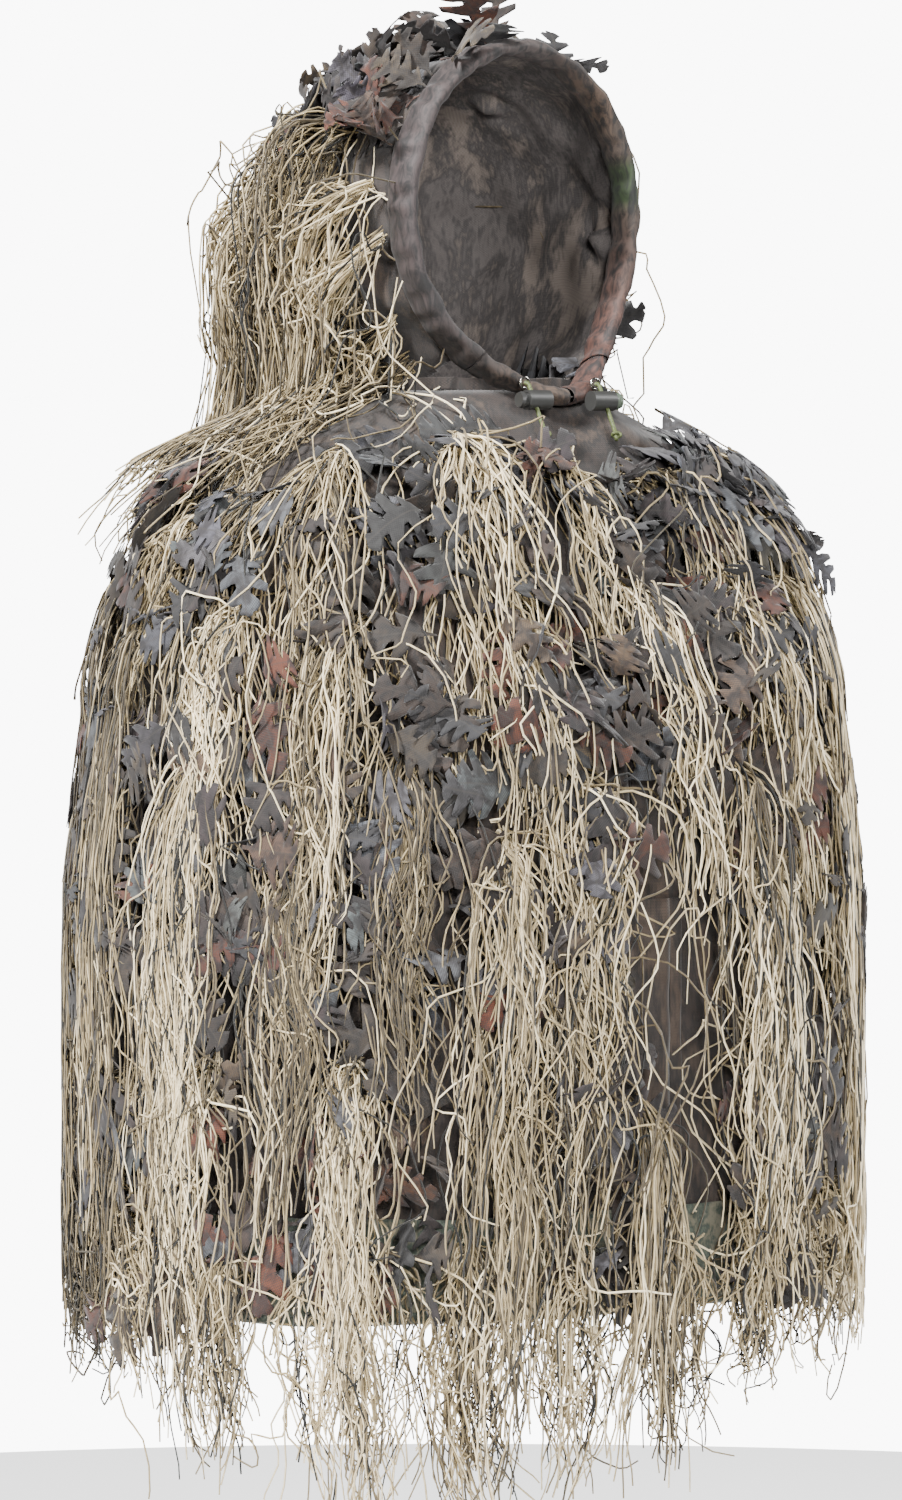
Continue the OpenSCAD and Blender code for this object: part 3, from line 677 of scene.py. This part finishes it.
BAND_TINTS = [
    # share of the way round from the throat by the wearer's left, colour
    (0.0, (0.2, 0.085, 0.055)), (0.07, (0.22, 0.09, 0.06)), (0.15, (0.25, 0.11, 0.075)),
    (0.24, (0.2, 0.14, 0.11)), (0.262, (0.2, 0.15, 0.11)), (0.275, (0.05, 0.1, 0.025)),
    (0.305, (0.06, 0.11, 0.03)), (0.32, (0.16, 0.12, 0.09)), (0.38, (0.2, 0.13, 0.08)),
    (0.45, (0.1, 0.07, 0.055)), (0.5, (0.16, 0.13, 0.12)), (0.56, (0.13, 0.098, 0.092)),
    (0.7, (0.12, 0.09, 0.09)), (0.84, (0.1, 0.076, 0.074)), (0.9, (0.09, 0.07, 0.06)),
    (0.94, (0.22, 0.15, 0.1)), (1.0, (0.24, 0.17, 0.12)),
]
BAND_SIDES = 20
CHIN_H = 30.5 * MM  # how high the two chin bands reach above the throat


def band_points(t, wide):
    """A plump folded band along the face opening, gathered on its cord."""
    line = hood_point(t, 0.0)
    tangent = unit(np.gradient(line, axis=0))
    back = unit(hood_point(t, 0.12) - line)
    back = unit(back - (back * tangent).sum(-1, keepdims=True) * tangent)
    out = np.cross(tangent, back)
    a = np.linspace(0, 2 * math.pi, BAND_SIDES, endpoint=False)
    length = np.concatenate([[0], np.cumsum(np.linalg.norm(np.diff(line, axis=0), axis=1))])
    gather = (np.sin(length / 0.0026) * 0.35 + np.sin(length / 0.0041 + 2) * 0.4
              + np.sin(length / 0.0093) * 0.5)
    across = np.sign(np.cos(a)) * np.abs(np.cos(a)) ** 0.8 * wide / 2 + 3 * MM
    up = np.sin(a) * 7 * MM * (1 + 0.25 * gather[:, None] * np.abs(np.sin(a)))
    points = line[:, None] + back[:, None] * (across + 4 * MM)[None, :, None] + out[:, None] * up[..., None]
    return points + 1.0 * MM * ripple(points, 31, 0.03)[..., None] * out[:, None]


def band_tints(t):
    at = (t / (2 * math.pi)) % 1.0
    share, colours = [s for s, _ in BAND_TINTS], np.array([c for _, c in BAND_TINTS])
    tint = np.stack([np.interp(at, share, colours[:, k]) for k in range(3)], -1)
    return np.repeat(tint, BAND_SIDES, axis=0)


def band_piece(name, t, wide):
    faces = grid_faces(len(t), BAND_SIDES, closed=True)
    ob = add_mesh(name, band_points(t, wide), faces, M["band"], attributes={"tint": band_tints(t)})
    thicken(ob, 0.8 * MM)
    return ob


def face_band():
    low = math.acos(1 - CHIN_H / FACE_H)
    high = 2 * math.pi - low
    ob = band_piece("face_band_cloth", np.linspace(low, high, 420), 34 * MM)
    piece(ob, None, "band_cloth", "face_band")
    for which, start, end in (("left", 0.02, low), ("right", high, 2 * math.pi - 0.02)):
        t = np.linspace(start, end, 50)
        ob = band_piece(f"chin_band_{which}_cloth", t, 30 * MM)
        piece(ob, "jacket", "chin_cloth", f"chin_band_{which}")
    line = hood_point(np.linspace(low, high, 160), 0.0)
    ob = add_rope("drawcord_in_tunnel", line + np.array([0, 4 * MM, 0]), CORD_D / 2, M["cord"], 8)
    piece(ob, None, "cord", "drawcord")


# ---- Yarn ----

YARN_STEPS = 24  # straight bits in a strand
LOCKS = 8  # locks in a bundle
CLEAR = 2.5 * MM  # least height over the garment
ALONG = np.linspace(0, 1, YARN_STEPS + 1)[None, :, None]


def wave(rng, n, size, slowest):
    """Smooth sideways swings for the points of n strands."""
    total = np.zeros((n, YARN_STEPS + 1, 3))
    for share, turns in ((1.0, slowest), (0.55, 2.1 * slowest), (0.25, 3.6 * slowest)):
        phase, rate = rng.uniform(0, 7, (n, 1, 3)), turns * rng.uniform(0.7, 1.4, (n, 1, 3))
        total += share * size * rng.normal(0.9, 0.5, (n, 1, 3)) * np.sin(2 * math.pi * rate * ALONG + phase)
    return (total - total[:, :1]) * smooth(0, 0.3, ALONG)


def grow(roots, headings, lengths, lie, pull):
    """Strands that leave their roots along their headings, fall, and lie on the garment at height lie."""
    p, t = roots.copy(), unit(headings)
    step = (lengths / YARN_STEPS)[:, None]
    path = [p.copy()]
    for along in (np.arange(YARN_STEPS) + 1) / YARN_STEPS:
        t = unit(t + DOWN * pull * (0.35 + 2.4 * along))
        q = p + t * step
        gap, way = garment_gap(q)
        want = lie * smooth(0, 0.3, along)
        push = np.clip(want - gap, 0, 0.03)
        push *= np.where(q[:, 2] < HEM_Z - 0.02, 0.25, 1)
        t = unit(q + way * push[:, None] - p)
        p = p + t * step
        path.append(p.copy())
    return np.stack(path, 1)


def tones(rng, n, bundle_tone, black):
    """The tone of each strand. A share of them is black."""
    tone = np.clip(bundle_tone + rng.normal(0, 0.14, n), 0.16, 1)
    dark = rng.random(n) < black
    return np.where(dark, rng.uniform(0, 0.08, n), tone)


def bundle(rng, at, facing, count, length, sweep, spread, tone, lie=24 * MM, black=0.09, pull=0.27):
    """One tied bundle, whose strands fall in a few locks. sweep leans it to the wearer's right (+) or left (-)
    when it hangs on the front. Returns paths, tones and radii."""
    side = unit(np.cross(DOWN, facing))
    messy = rng.uniform(0.55, 1.5)
    lock = rng.integers(0, LOCKS, count)
    lock_fan = sweep + spread * np.linspace(-1.1, 1.1, LOCKS) + rng.normal(0, 0.25 * spread, LOCKS)
    lock_lift = rng.uniform(0.3, 1.1, LOCKS)
    stray = rng.random(count) < 0.1 * messy
    fan = lock_fan[lock] + rng.normal(0, 0.12, count) * messy + stray * rng.normal(0, 0.9, count)
    rise = lock_lift[lock] + rng.normal(0, 0.15, count) + stray * 0.3
    roots = at + side * rng.normal(0, 3.5 * MM, (count, 1)) + DOWN * rng.normal(0, 4 * MM, (count, 1))
    roots = roots + facing * rng.uniform(0, 5 * MM, (count, 1))
    headings = facing * rise[:, None] + DOWN * 0.3 + side * fan[:, None]
    lengths = length * np.clip(rng.normal(0.88, 0.17, count), 0.4, 1.12)
    depth = rng.random(LOCKS)[lock] * 0.7 + 0.3 * rng.random(count)
    lies = lie * (0.12 + 1.1 * depth) + stray * 10 * MM
    paths = grow(roots, headings, lengths, lies, pull)
    paths = paths + wave(rng, LOCKS, 9 * MM, 0.6)[lock] + wave(rng, count, 6.5 * MM * messy, 1.2)
    paths = paths + wave(rng, count, 20 * MM, 0.9) * stray[:, None, None]
    # Strands that lie close to the garment (small depth) get a darker tone: painted shade among the strands.
    return paths, tones(rng, count, tone - 0.42 * (1 - depth), black), rng.uniform(0.8, 1.12, count) * MM


def loops(rng, at, facing, count, wide=80 * MM, deep=90 * MM):
    """Strands that hang in loops from the place where a bundle is tied."""
    s = ALONG
    side = unit(np.cross(DOWN, facing))
    across = rng.choice([-1, 1], (count, 1, 1)) * rng.uniform(0.4, 1.0, (count, 1, 1)) * wide
    down = rng.uniform(0.5, 1.3, (count, 1, 1)) * deep
    lean = rng.uniform(0.7, 1.5, (count, 1, 1))
    fall = 4 * s ** lean * (1 - s ** lean)
    stand = 26 * MM * np.sin(math.pi * s) + 3 * MM
    paths = at + side * across * s + DOWN * (down * fall + 30 * MM * s) + facing * stand
    paths = paths + wave(rng, count, 3 * MM, 0.8)
    return paths, tones(rng, count, np.full(count, 0.85), 0.1), rng.uniform(0.8, 1.1, count) * MM


def fringe(flat, way):
    """How far yarn may stand off at each point: more on the front and over the shoulders."""
    return (33 + 16 * smooth(0.55, 1, -way[:, 1]) + 16 * smooth(-0.1, -0.02, flat[:, 2])) * MM


def clear_of_garment(paths, most=None):
    """Moves points inside the garment out of it, and draws in those further off than about most (or fringe)."""
    flat = paths.reshape(-1, 3)
    gap, way = garment_gap(flat)
    reach = fringe(flat, way) if most is None else most
    under = smooth(HEM_Z - 0.03, HEM_Z, flat[:, 2])
    out = np.clip(CLEAR - gap, 0, 0.12) * under
    far = np.where(gap > 0, gap - reach * np.tanh(gap / reach), 0)
    return (flat + way * (out - far)[:, None]).reshape(paths.shape)


def yarn_piece(name, node, body, bundles, most=None):
    """All bundles of a row as one piece."""
    paths, tone, radius = (np.concatenate([b[k] for b in bundles]) for k in range(3))
    paths = clear_of_garment(clear_of_garment(paths, most=most), most=1.0)
    if not body:
        front = FACE_Y + 6 * MM + 30 * MM * (1 - smooth(-0.02, 0.03, paths[..., 2]))
        paths[..., 1] = np.where(paths[..., 2] > 0, np.maximum(paths[..., 1], front), paths[..., 1])
    piece(add_strands(name, paths, radius, tone, M["yarn"]), body, "yarn", node)


# Bundles that hang on the front and on the wearer's right front, by row:
# height, distance round from the centre front towards the wearer's left, length, sweep, spread, strands
FRONT_BUNDLES = {
    "shoulder": [
        (-40, -95, 330, 0.05, 0.42, 110), (-52, -185, 350, 0.1, 0.16, 95), (-85, -245, 240, 0.9, 0.3, 90),
        (-100, -330, 190, 0.7, 0.3, 75), (-62, 55, 300, -0.75, 0.3, 95), (-48, 130, 300, -0.4, 0.3, 80),
        (-60, -20, 260, -0.25, 0.25, 70),
    ],
    "chest": [
        (-150, 5, 300, -0.55, 0.3, 95), (-165, 105, 290, -0.5, 0.3, 85), (-150, 190, 290, -0.2, 0.3, 80),
        (-180, -215, 260, 0.5, 0.3, 80), (-170, -300, 240, 0.4, 0.3, 80), (-195, -105, 240, -0.1, 0.2, 60),
    ],
    "waist": [
        (-275, -190, 300, 0.15, 0.28, 90), (-278, -345, 300, 0.3, 0.3, 90), (-262, -440, 290, 0.2, 0.3, 85),
        (-300, -60, 270, 0.1, 0.24, 80), (-290, 88, 290, -0.15, 0.28, 85), (-280, 195, 290, -0.2, 0.3, 80),
        (-300, -265, 250, 0.1, 0.25, 70),
    ],
    "hip": [
        (-360, -275, 290, 0.25, 0.28, 85), (-345, -125, 300, 0.15, 0.26, 90), (-365, 100, 300, -0.12, 0.26, 90),
        (-400, -390, 280, 0.15, 0.3, 85), (-385, 205, 280, -0.2, 0.3, 80), (-430, -85, 270, 0.1, 0.24, 80),
    ],
    "thigh": [
        (-520, -360, 300, 0.15, 0.28, 90), (-515, -245, 300, 0.1, 0.3, 90), (-545, -140, 280, 0.0, 0.26, 85),
        (-500, 108, 260, -0.1, 0.26, 85), (-515, 215, 230, -0.1, 0.28, 80), (-540, -460, 210, 0.1, 0.28, 80),
    ],
    "hem": [
        (-645, -430, 125, 0.1, 0.36, 70), (-655, -340, 180, 0.05, 0.4, 85), (-655, -245, 240, 0.0, 0.38, 95),
        (-660, -158, 220, -0.05, 0.36, 90), (-660, -78, 180, 0.0, 0.34, 80), (-650, 96, 130, -0.05, 0.36, 80),
        (-645, 180, 125, 0.0, 0.4, 80), (-645, 262, 115, 0.0, 0.4, 75),
    ],
}

# The rest of each row, round the sides and back: height, bundles, length, strands
ROWS = {
    "shoulder": (-50, 11, 270, 60), "chest": (-165, 13, 260, 58), "waist": (-285, 13, 260, 54),
    "hip": (-400, 14, 260, 54), "thigh": (-520, 14, 215, 52), "hem": (-645, 15, 115, 43),
}


def body_yarn():
    for k, (name, (z, count, length, strands)) in enumerate(ROWS.items()):
        rng = np.random.default_rng(100 + k)
        places = FRONT_BUNDLES[name]
        bundles = []
        for height, across, long, sweep, spread, n in places:
            around = quarter_round(height * MM) * 4
            at, facing = round_point(height * MM, across * MM / around, 3 * MM)
            bundles.append(bundle(rng, at, facing, n, long * MM, sweep, spread * 0.6, rng.uniform(0.6, 0.9)))
            bundles.append(loops(rng, at, facing, 1, 50 * MM, 60 * MM))
        around = quarter_round(z * MM) * 4
        low = (max(p[1] for p in places) + 95) * MM / around
        high = 1 + (min(p[1] for p in places) - 95) * MM / around
        for i in range(count):
            u = low + (high - low) * (i + rng.uniform(-0.2, 0.2)) / (count - 1)
            at, facing = round_point(z * MM + rng.uniform(-0.022, 0.022), u, 3 * MM)
            bundles.append(bundle(rng, at, facing, strands, length * MM * rng.uniform(0.9, 1.1),
                                  rng.normal(0, 0.2), rng.uniform(0.12, 0.22), rng.uniform(0.48, 0.78)))
            bundles.append(loops(rng, at, facing, 1))
        yarn_piece(name + "_yarn", "yarn_" + name, "jacket", bundles)


def flap_yarn():
    rng = np.random.default_rng(150)
    bundles = []
    for x, z, length in ((-8, -560, 275), (4, -655, 170)):
        at = np.array([x * MM, FLAP_LOW.y - 1 * MM, z * MM])
        bundles.append(bundle(rng, at, np.array([0, -1.0, 0]), 85, length * MM, 0.02, 0.2, 0.66))
    yarn_piece("flap_yarn", "yarn_flap", "placket_flap", bundles)


def hood_root(azimuth, z):
    """A point on the hood at that height: azimuth 0 is the front and 90 the wearer's left."""
    a = math.radians(azimuth)
    way = Vector((math.sin(a), -math.cos(a), 0))
    at, normal, _, _ = HOOD_TREE.ray_cast(Vector((0, 0.02, z)), way)
    normal = outward(at, normal)
    return np.array(at + normal * 2 * MM), np.array(normal)


def hood_yarn():
    """Rows of bundles down each side of the hood, swept to the back and down on to the shoulders."""
    rows = [
        # height, angles on each side, length, how far it sweeps to the back, how far it stands off
        (0.218, (72, 100, 140), 0.25, 0.8, 22),
        (0.176, (64, 82, 106, 134, 166), 0.26, 0.85, 34),
        (0.122, (62, 86, 114, 146), 0.25, 0.85, 56),
        (0.072, (62, 84, 116, 150), 0.23, 0.8, 70),
        (0.034, (58, 80, 108, 140), 0.22, 1.0, 66),
    ]
    for side, name in ((-1, "hood_yarn_right"), (1, "hood_yarn_left")):
        rng = np.random.default_rng(160 + side)
        bundles = []
        for z, azimuths, length, back, off in rows:
            for azimuth in azimuths:
                turn = azimuth if side < 0 else 92 + (azimuth - 58) * 0.7
                at, facing = hood_root(side * (turn + rng.uniform(-4, 4)), z + rng.uniform(-0.01, 0.01))
                lean = -side * back * (1 if azimuth < 125 else 0.3)
                far = off * MM * smooth(60, 110, azimuth) + 14 * MM
                bundles.append(bundle(rng, at, facing, 62, length * rng.uniform(0.92, 1.12), lean, 0.3,
                                      rng.uniform(0.58, 0.82), far, 0.07, 0.2))
                bundles.append(loops(rng, at, facing, 2, 60 * MM, 60 * MM))
        yarn_piece(name, "yarn_hood", None, bundles, most=95 * MM)


# ---- Leaves ----

TINTS = {
    "blue": (0.075, 0.077, 0.085), "slate": (0.022, 0.021, 0.024), "plum": (0.024, 0.015, 0.014),
    "brown": (0.032, 0.019, 0.011), "tan": (0.075, 0.047, 0.025), "rust": (0.085, 0.021, 0.006),
}
LEAF_ROWS, LEAF_COLUMNS = 33, 5


def leaf_outline(lobes, depth, s, phase):
    """Half width along one side of a leaf, as a share: a stem, finger-like lobes and a blunt tip."""
    along = np.clip((s - 0.12) / 0.88, 0, 1)
    body = np.sin(math.pi * along ** 0.75) ** 0.42
    finger = smooth(0.22, 0.6, 0.5 - 0.5 * np.cos(2 * math.pi * (lobes * along + phase)))
    finger = finger + (1 - finger) * smooth(0.86, 0.95, along)
    width = body * (1 - depth + depth * finger) * (0.75 + 0.35 * np.sin(math.pi * along + 0.3))
    return np.maximum(width, 0.06 * (s < 0.2))


def leaves_mesh(name, spec, body, node, slot, seed, most=None):
    """spec is a list of (root, heading, facing, length, width, tint name)."""
    rng = np.random.default_rng(seed)
    s = np.linspace(0, 1, LEAF_ROWS)
    c = np.linspace(-1, 1, LEAF_COLUMNS)
    all_points, all_tints, all_uv = [], [], []
    for root, heading, facing, length, width, tint in spec:
        a = unit(heading)
        side = unit(np.cross(a, facing))
        n = np.cross(side, a)
        lobes, depth, phase = rng.integers(3, 5), rng.uniform(0.55, 0.78), rng.uniform(-0.2, 0.2)
        halves = [leaf_outline(lobes, depth, s, phase + k * 0.3) * width / 2 for k in (0, 1)]
        half = np.where(c[None, :] < 0, halves[0][:, None], halves[1][:, None])
        x = s[:, None] * length + np.abs(c)[None, :] ** 2 * half * 0.5
        y = c[None, :] * half
        bend, fold = rng.uniform(-1.0, 1.4), rng.uniform(-6, 8)
        twist = rng.uniform(-0.7, 0.7)
        angle = bend * x / length
        arc = np.where(abs(bend) < 1e-3, x, np.sin(angle) / bend * length)
        rise = (1 - np.cos(angle)) / (bend + 1e-6) * length
        turn = twist * x / length
        rise = rise + fold * y ** 2 + y * np.sin(turn) + 0.6 * MM * np.sin(x / (5 * MM) + c * 2)
        y = y * np.cos(turn)
        p = root + a * arc[..., None] + side * y[..., None] - n * rise[..., None]
        all_points.append(p.reshape(-1, 3))
        shade = np.array(TINTS[tint]) * rng.uniform(0.75, 1.3) * rng.normal(1, 0.06, 3)
        all_tints.append(np.tile(shade, (p.shape[0] * p.shape[1], 1)))
        all_uv.append(np.stack([x, c[None, :] * half], -1).reshape(-1, 2))
    one = grid_faces(LEAF_ROWS, LEAF_COLUMNS)
    count = LEAF_ROWS * LEAF_COLUMNS
    faces = ((np.arange(len(spec)) * count)[:, None, None] + one).reshape(-1, 4)
    uv = np.concatenate(all_uv)[faces.ravel()]
    points = clear_of_garment(np.concatenate(all_points), most)
    ob = add_mesh(name, points, faces, M["leaf"], uv=uv, attributes={"tint": np.concatenate(all_tints)})
    thicken(ob, 0.5 * MM)
    piece(ob, body, slot, node)


def free_spot(at):
    """Whether a leaf tied here stays clear of the flap and of the cord lock on the left as they move."""
    flap = at[2] < FLAP_HIGH.z + 50 * MM and -42 * MM < at[0] < 64 * MM and at[1] < 0
    lock = np.hypot(at[0] - CORD_X["left"], at[1] + 130 * MM) < 40 * MM and at[2] > -70 * MM
    return not (flap or lock)


def scattered(rng, z_low, z_high, u_low, u_high, clumps, tints, off=(8 * MM, 42 * MM), out=(0.2, 1.1)):
    """Clumps of two to five leaves over a stretch of the shell, turned at random."""
    spec = []
    for _ in range(clumps):
        z, u = rng.uniform(z_low, z_high), rng.uniform(u_low, u_high)
        main = rng.integers(len(tints))
        for _ in range(rng.integers(2, 6)):
            at, facing = round_point(z + rng.normal(0, 0.014), u + rng.normal(0, 0.007), rng.uniform(*off))
            side = unit(np.cross(facing, DOWN))
            heading = DOWN * rng.uniform(-0.3, 1) + side * rng.normal(0, 0.9) + facing * rng.uniform(*out)
            face = unit(facing + 0.5 * rng.normal(size=3))
            length = rng.uniform(50, 82) * MM
            tint = tints[main if rng.random() < 0.6 else rng.integers(len(tints))]
            wide = length * rng.uniform(0.55, 0.75)
            if free_spot(at):
                spec.append((at, heading, face, length, wide, tint))
    return spec


MIXED = ["slate", "plum", "brown", "brown", "blue", "slate", "plum", "brown", "tan", "rust"]


def body_leaves():
    bands = [
        ("chest", "leaf_brown", -0.20, -0.07, 74),
        ("waist", "leaf_blue", -0.34, -0.20, 80),
        ("hip", "leaf_rust", -0.47, -0.34, 74),
        ("thigh", "leaf_brown", -0.70, -0.48, 84),
    ]
    for k, (name, slot, low, high, count) in enumerate(bands):
        rng = np.random.default_rng(300 + k)
        spec = scattered(rng, low, high, 0, 1, count, MIXED)
        leaves_mesh(name + "_leaves", spec, "jacket", "leaves_" + name, slot, 320 + k)


def neck_leaves():
    rng = np.random.default_rng(340)
    cool = ["blue", "blue", "slate", "plum", "slate", "brown"]
    spec = scattered(rng, -0.09, -0.035, 0.06, 0.95, 22, cool, off=(4 * MM, 14 * MM), out=(0.3, 1.1))
    spec += scattered(rng, -0.085, -0.03, 0.05, 0.2, 24, ["blue", "blue", "slate", "plum"], out=(0.3, 1.0))
    spec += scattered(rng, -0.09, -0.03, 0.60, 0.74, 18, ["blue", "slate", "brown", "rust"],
                      off=(15 * MM, 45 * MM), out=(0.6, 1.5))
    spec += scattered(rng, -0.08, -0.04, -0.01, 0.09, 9, cool, off=(3 * MM, 10 * MM), out=(0.2, 0.8))
    leaves_mesh("neck_leaves", spec, "jacket", "leaves_neck", "leaf_blue", 341, 50 * MM)


def crown_leaves():
    rng = np.random.default_rng(350)
    spec = []
    places = [
        # leaves, angles from the top towards the wearer's right, depths from the opening
        (34, -1.0, 1.0, 0.03, 0.62), (52, 0.15, 1.5, 0.3, 0.85),
        (18, -2.75, -2.15, 0.1, 0.4), (18, 0.35, 1.3, 0.04, 0.26),
    ]
    mixed = ["slate", "plum", "brown", "blue", "brown", "tan", "rust"]
    for low_t, high_t, low_v, high_v in [p[1:] for p in places for _ in range(p[0])]:
        t, v = math.pi + rng.uniform(low_t, high_t), rng.uniform(low_v, high_v)
        at = hood_point(t, v)
        facing = unit(at - (CROWN - np.array([0, 30 * MM, 0])))
        heading = unit(rng.normal(size=3) + np.array([0, 0.6, -0.2])) + facing * rng.uniform(0.1, 1.0)
        length = rng.uniform(52, 84) * MM
        # Beside the opening on the wearer's left only slate and blue leaves
        tint = mixed[rng.integers(7) if low_t > -2 else 3 * rng.integers(2)]
        face = unit(facing + 0.5 * rng.normal(size=3))
        spec.append((at + facing * 3 * MM, heading, face, length, length * rng.uniform(0.5, 0.7), tint))
    leaves_mesh("crown_leaves", spec, None, "leaves_crown", "leaf_blue", 351, 60 * MM)


# ---- Drawcord ends, locks and snaps ----

BEND = [(0, 0, 0), (0, -3 * MM, -0.5 * MM), (0, -5 * MM, -2 * MM), (0, -6.5 * MM, -4.5 * MM)]
LEAN = np.array([0, -0.5, -math.sqrt(0.75)])


def end_route(x):
    """The drawcord end's route, as in the frame."""
    start = np.array([x, END_Y, END_Z])
    points = [start + b for b in np.array(BEND)]
    points += [points[3] + LEAN * d for d in np.linspace(0.1, 1, 10) * END_L]
    return np.array(points)


def knot_path(centre, size):
    a = np.linspace(0, 2 * math.pi, 60)
    x = np.sin(a) + 2 * np.sin(2 * a)
    y = np.cos(a) - 2 * np.cos(2 * a)
    z = -np.sin(3 * a)
    return centre + np.stack([x * 0.33, z * 0.45, y * 0.33], -1) * size


def cord_ends():
    for side, x in CORD_X.items():
        route = end_route(x)
        ob = add_rope(f"cord_end_{side}_braid", route, CORD_D / 2, M["cord"])
        piece(ob, "jacket", "cord", f"cord_end_{side}")
        centre = route[3] + LEAN * (END_L + 3.3 * MM)
        knot = add_rope(f"cord_knot_{side}", knot_path(centre, 3.4 * MM), 1.5 * MM, M["cord"], 8)
        piece(knot, "jacket", "cord", "cord_knots")


def dress_nodes():
    """Better materials and softened edges on the hard parts that stay as they are."""
    finishes = {
        "lock_barrel_left": "lock", "lock_barrel_right": "lock", "lock_button_left": "lock_cap",
        "lock_button_right": "lock", "lock_spring_left": "steel", "lock_spring_right": "steel",
        "snap_posts": "snap", "snap_studs": "snap", "snap_sockets": "snap", "snap_caps": "snap",
        "eyelets": "eyelet",
    }
    for node, finish in finishes.items():
        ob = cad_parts[node]
        ob.data.materials.clear()
        ob.data.materials.append(M[finish])
        if node.startswith(("lock_b", "snap")):
            bevel = ob.modifiers.new("edge", "BEVEL")
            bevel.width = 0.5 * MM if node.startswith("lock") else 0.2 * MM
            bevel.segments = 2
            bevel.limit_method = "ANGLE"


def front_closing():
    strip("underlap_cloth", *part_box("underlap"), "jacket", "underlap", 41)
    low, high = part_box("flap_seam_strip")
    strip("flap_seam_cloth", low, Vector((high.x, low.y + 3 * MM, high.z)), "jacket", "flap_seam_strip", 42)
    strip("front_flap_cloth", FLAP_LOW, FLAP_HIGH, "placket_flap", "front_flap", 43)


# ---- Floor, light and camera ----

def studio():
    floor_z = cad_low.z - 0.3
    bpy.ops.mesh.primitive_circle_add(vertices=128, radius=2.2, fill_type="NGON", location=(0, 0, floor_z))
    floor = bpy.context.object
    floor.name = "floor"
    n = Nodes("pale_floor", roughness=0.9)
    colour = n.ramp(n.noise(n.place(), 0.4, 2), [(0.3, (0.86, 0.86, 0.86)), (0.7, (0.9, 0.9, 0.9))])
    floor.data.materials.append(n.finish(colour))
    world = bpy.data.worlds.new("studio")
    bpy.context.scene.world = world
    world.use_nodes = True
    tree = world.node_tree
    soft = tree.nodes["Background"]
    soft.inputs["Color"].default_value = (0.95, 0.97, 1, 1)
    soft.inputs["Strength"].default_value = 0.07
    white = tree.nodes.new("ShaderNodeBackground")
    white.inputs["Strength"].default_value = 12.0
    seen = tree.nodes.new("ShaderNodeLightPath")
    mix = tree.nodes.new("ShaderNodeMixShader")
    tree.links.new(seen.outputs["Is Camera Ray"], mix.inputs[0])
    tree.links.new(soft.outputs[0], mix.inputs[1])
    tree.links.new(white.outputs[0], mix.inputs[2])
    tree.links.new(mix.outputs[0], tree.nodes["World Output"].inputs[0])
    for name, azimuth, height, far, size, power in (
        ("key", -80, 3.0, 2.8, 0.7, 640), ("front", -25, 0.8, 3.6, 0.7, 205),
        ("side", 60, 1.6, 3.0, 0.8, 130), ("back", 160, 1.8, 3.0, 1.4, 160),
    ):
        light = bpy.data.objects.new(name, bpy.data.lights.new(name, "AREA"))
        light.data.size = size
        light.data.energy = power
        a = math.radians(azimuth)
        light.location = (far * math.sin(a), -far * math.cos(a), height)
        aim = Vector((0, 0, -0.3)) - light.location
        light.rotation_euler = aim.to_track_quat("-Z", "Y").to_euler()
        bpy.context.collection.objects.link(light)


def camera():
    azimuth, elevation, far = math.radians(-35), math.radians(2), 5.0
    seen = 1.23  # height of the view at the object
    across, middle_z = -12 * MM, -287 * MM
    level = math.cos(elevation)
    back = Vector((math.sin(azimuth) * level, -math.cos(azimuth) * level, math.sin(elevation)))
    right = Vector((math.cos(azimuth), math.sin(azimuth), 0))
    cam = bpy.data.objects.new("camera", bpy.data.cameras.new("camera"))
    cam.data.sensor_width = 36
    cam.data.lens = 36 * far / seen
    cam.location = Vector((0, 0, middle_z)) + right * across + back * far
    cam.rotation_euler = (-back).to_track_quat("-Z", "Y").to_euler()
    cam.data.clip_end = 200
    bpy.context.collection.objects.link(cam)
    bpy.context.scene.camera = cam


HOOD_MIDDLE = Vector((0, 0.02, 0.12))
HOOD_TREE = hood_tree()

camera()
cord_ends()
cloth_shells()
hem()
collar()
side_tapes()
hang_loop()
front_closing()
hood()
face_band()
body_yarn()
flap_yarn()
hood_yarn()
body_leaves()
neck_leaves()
crown_leaves()
dress_nodes()
studio()
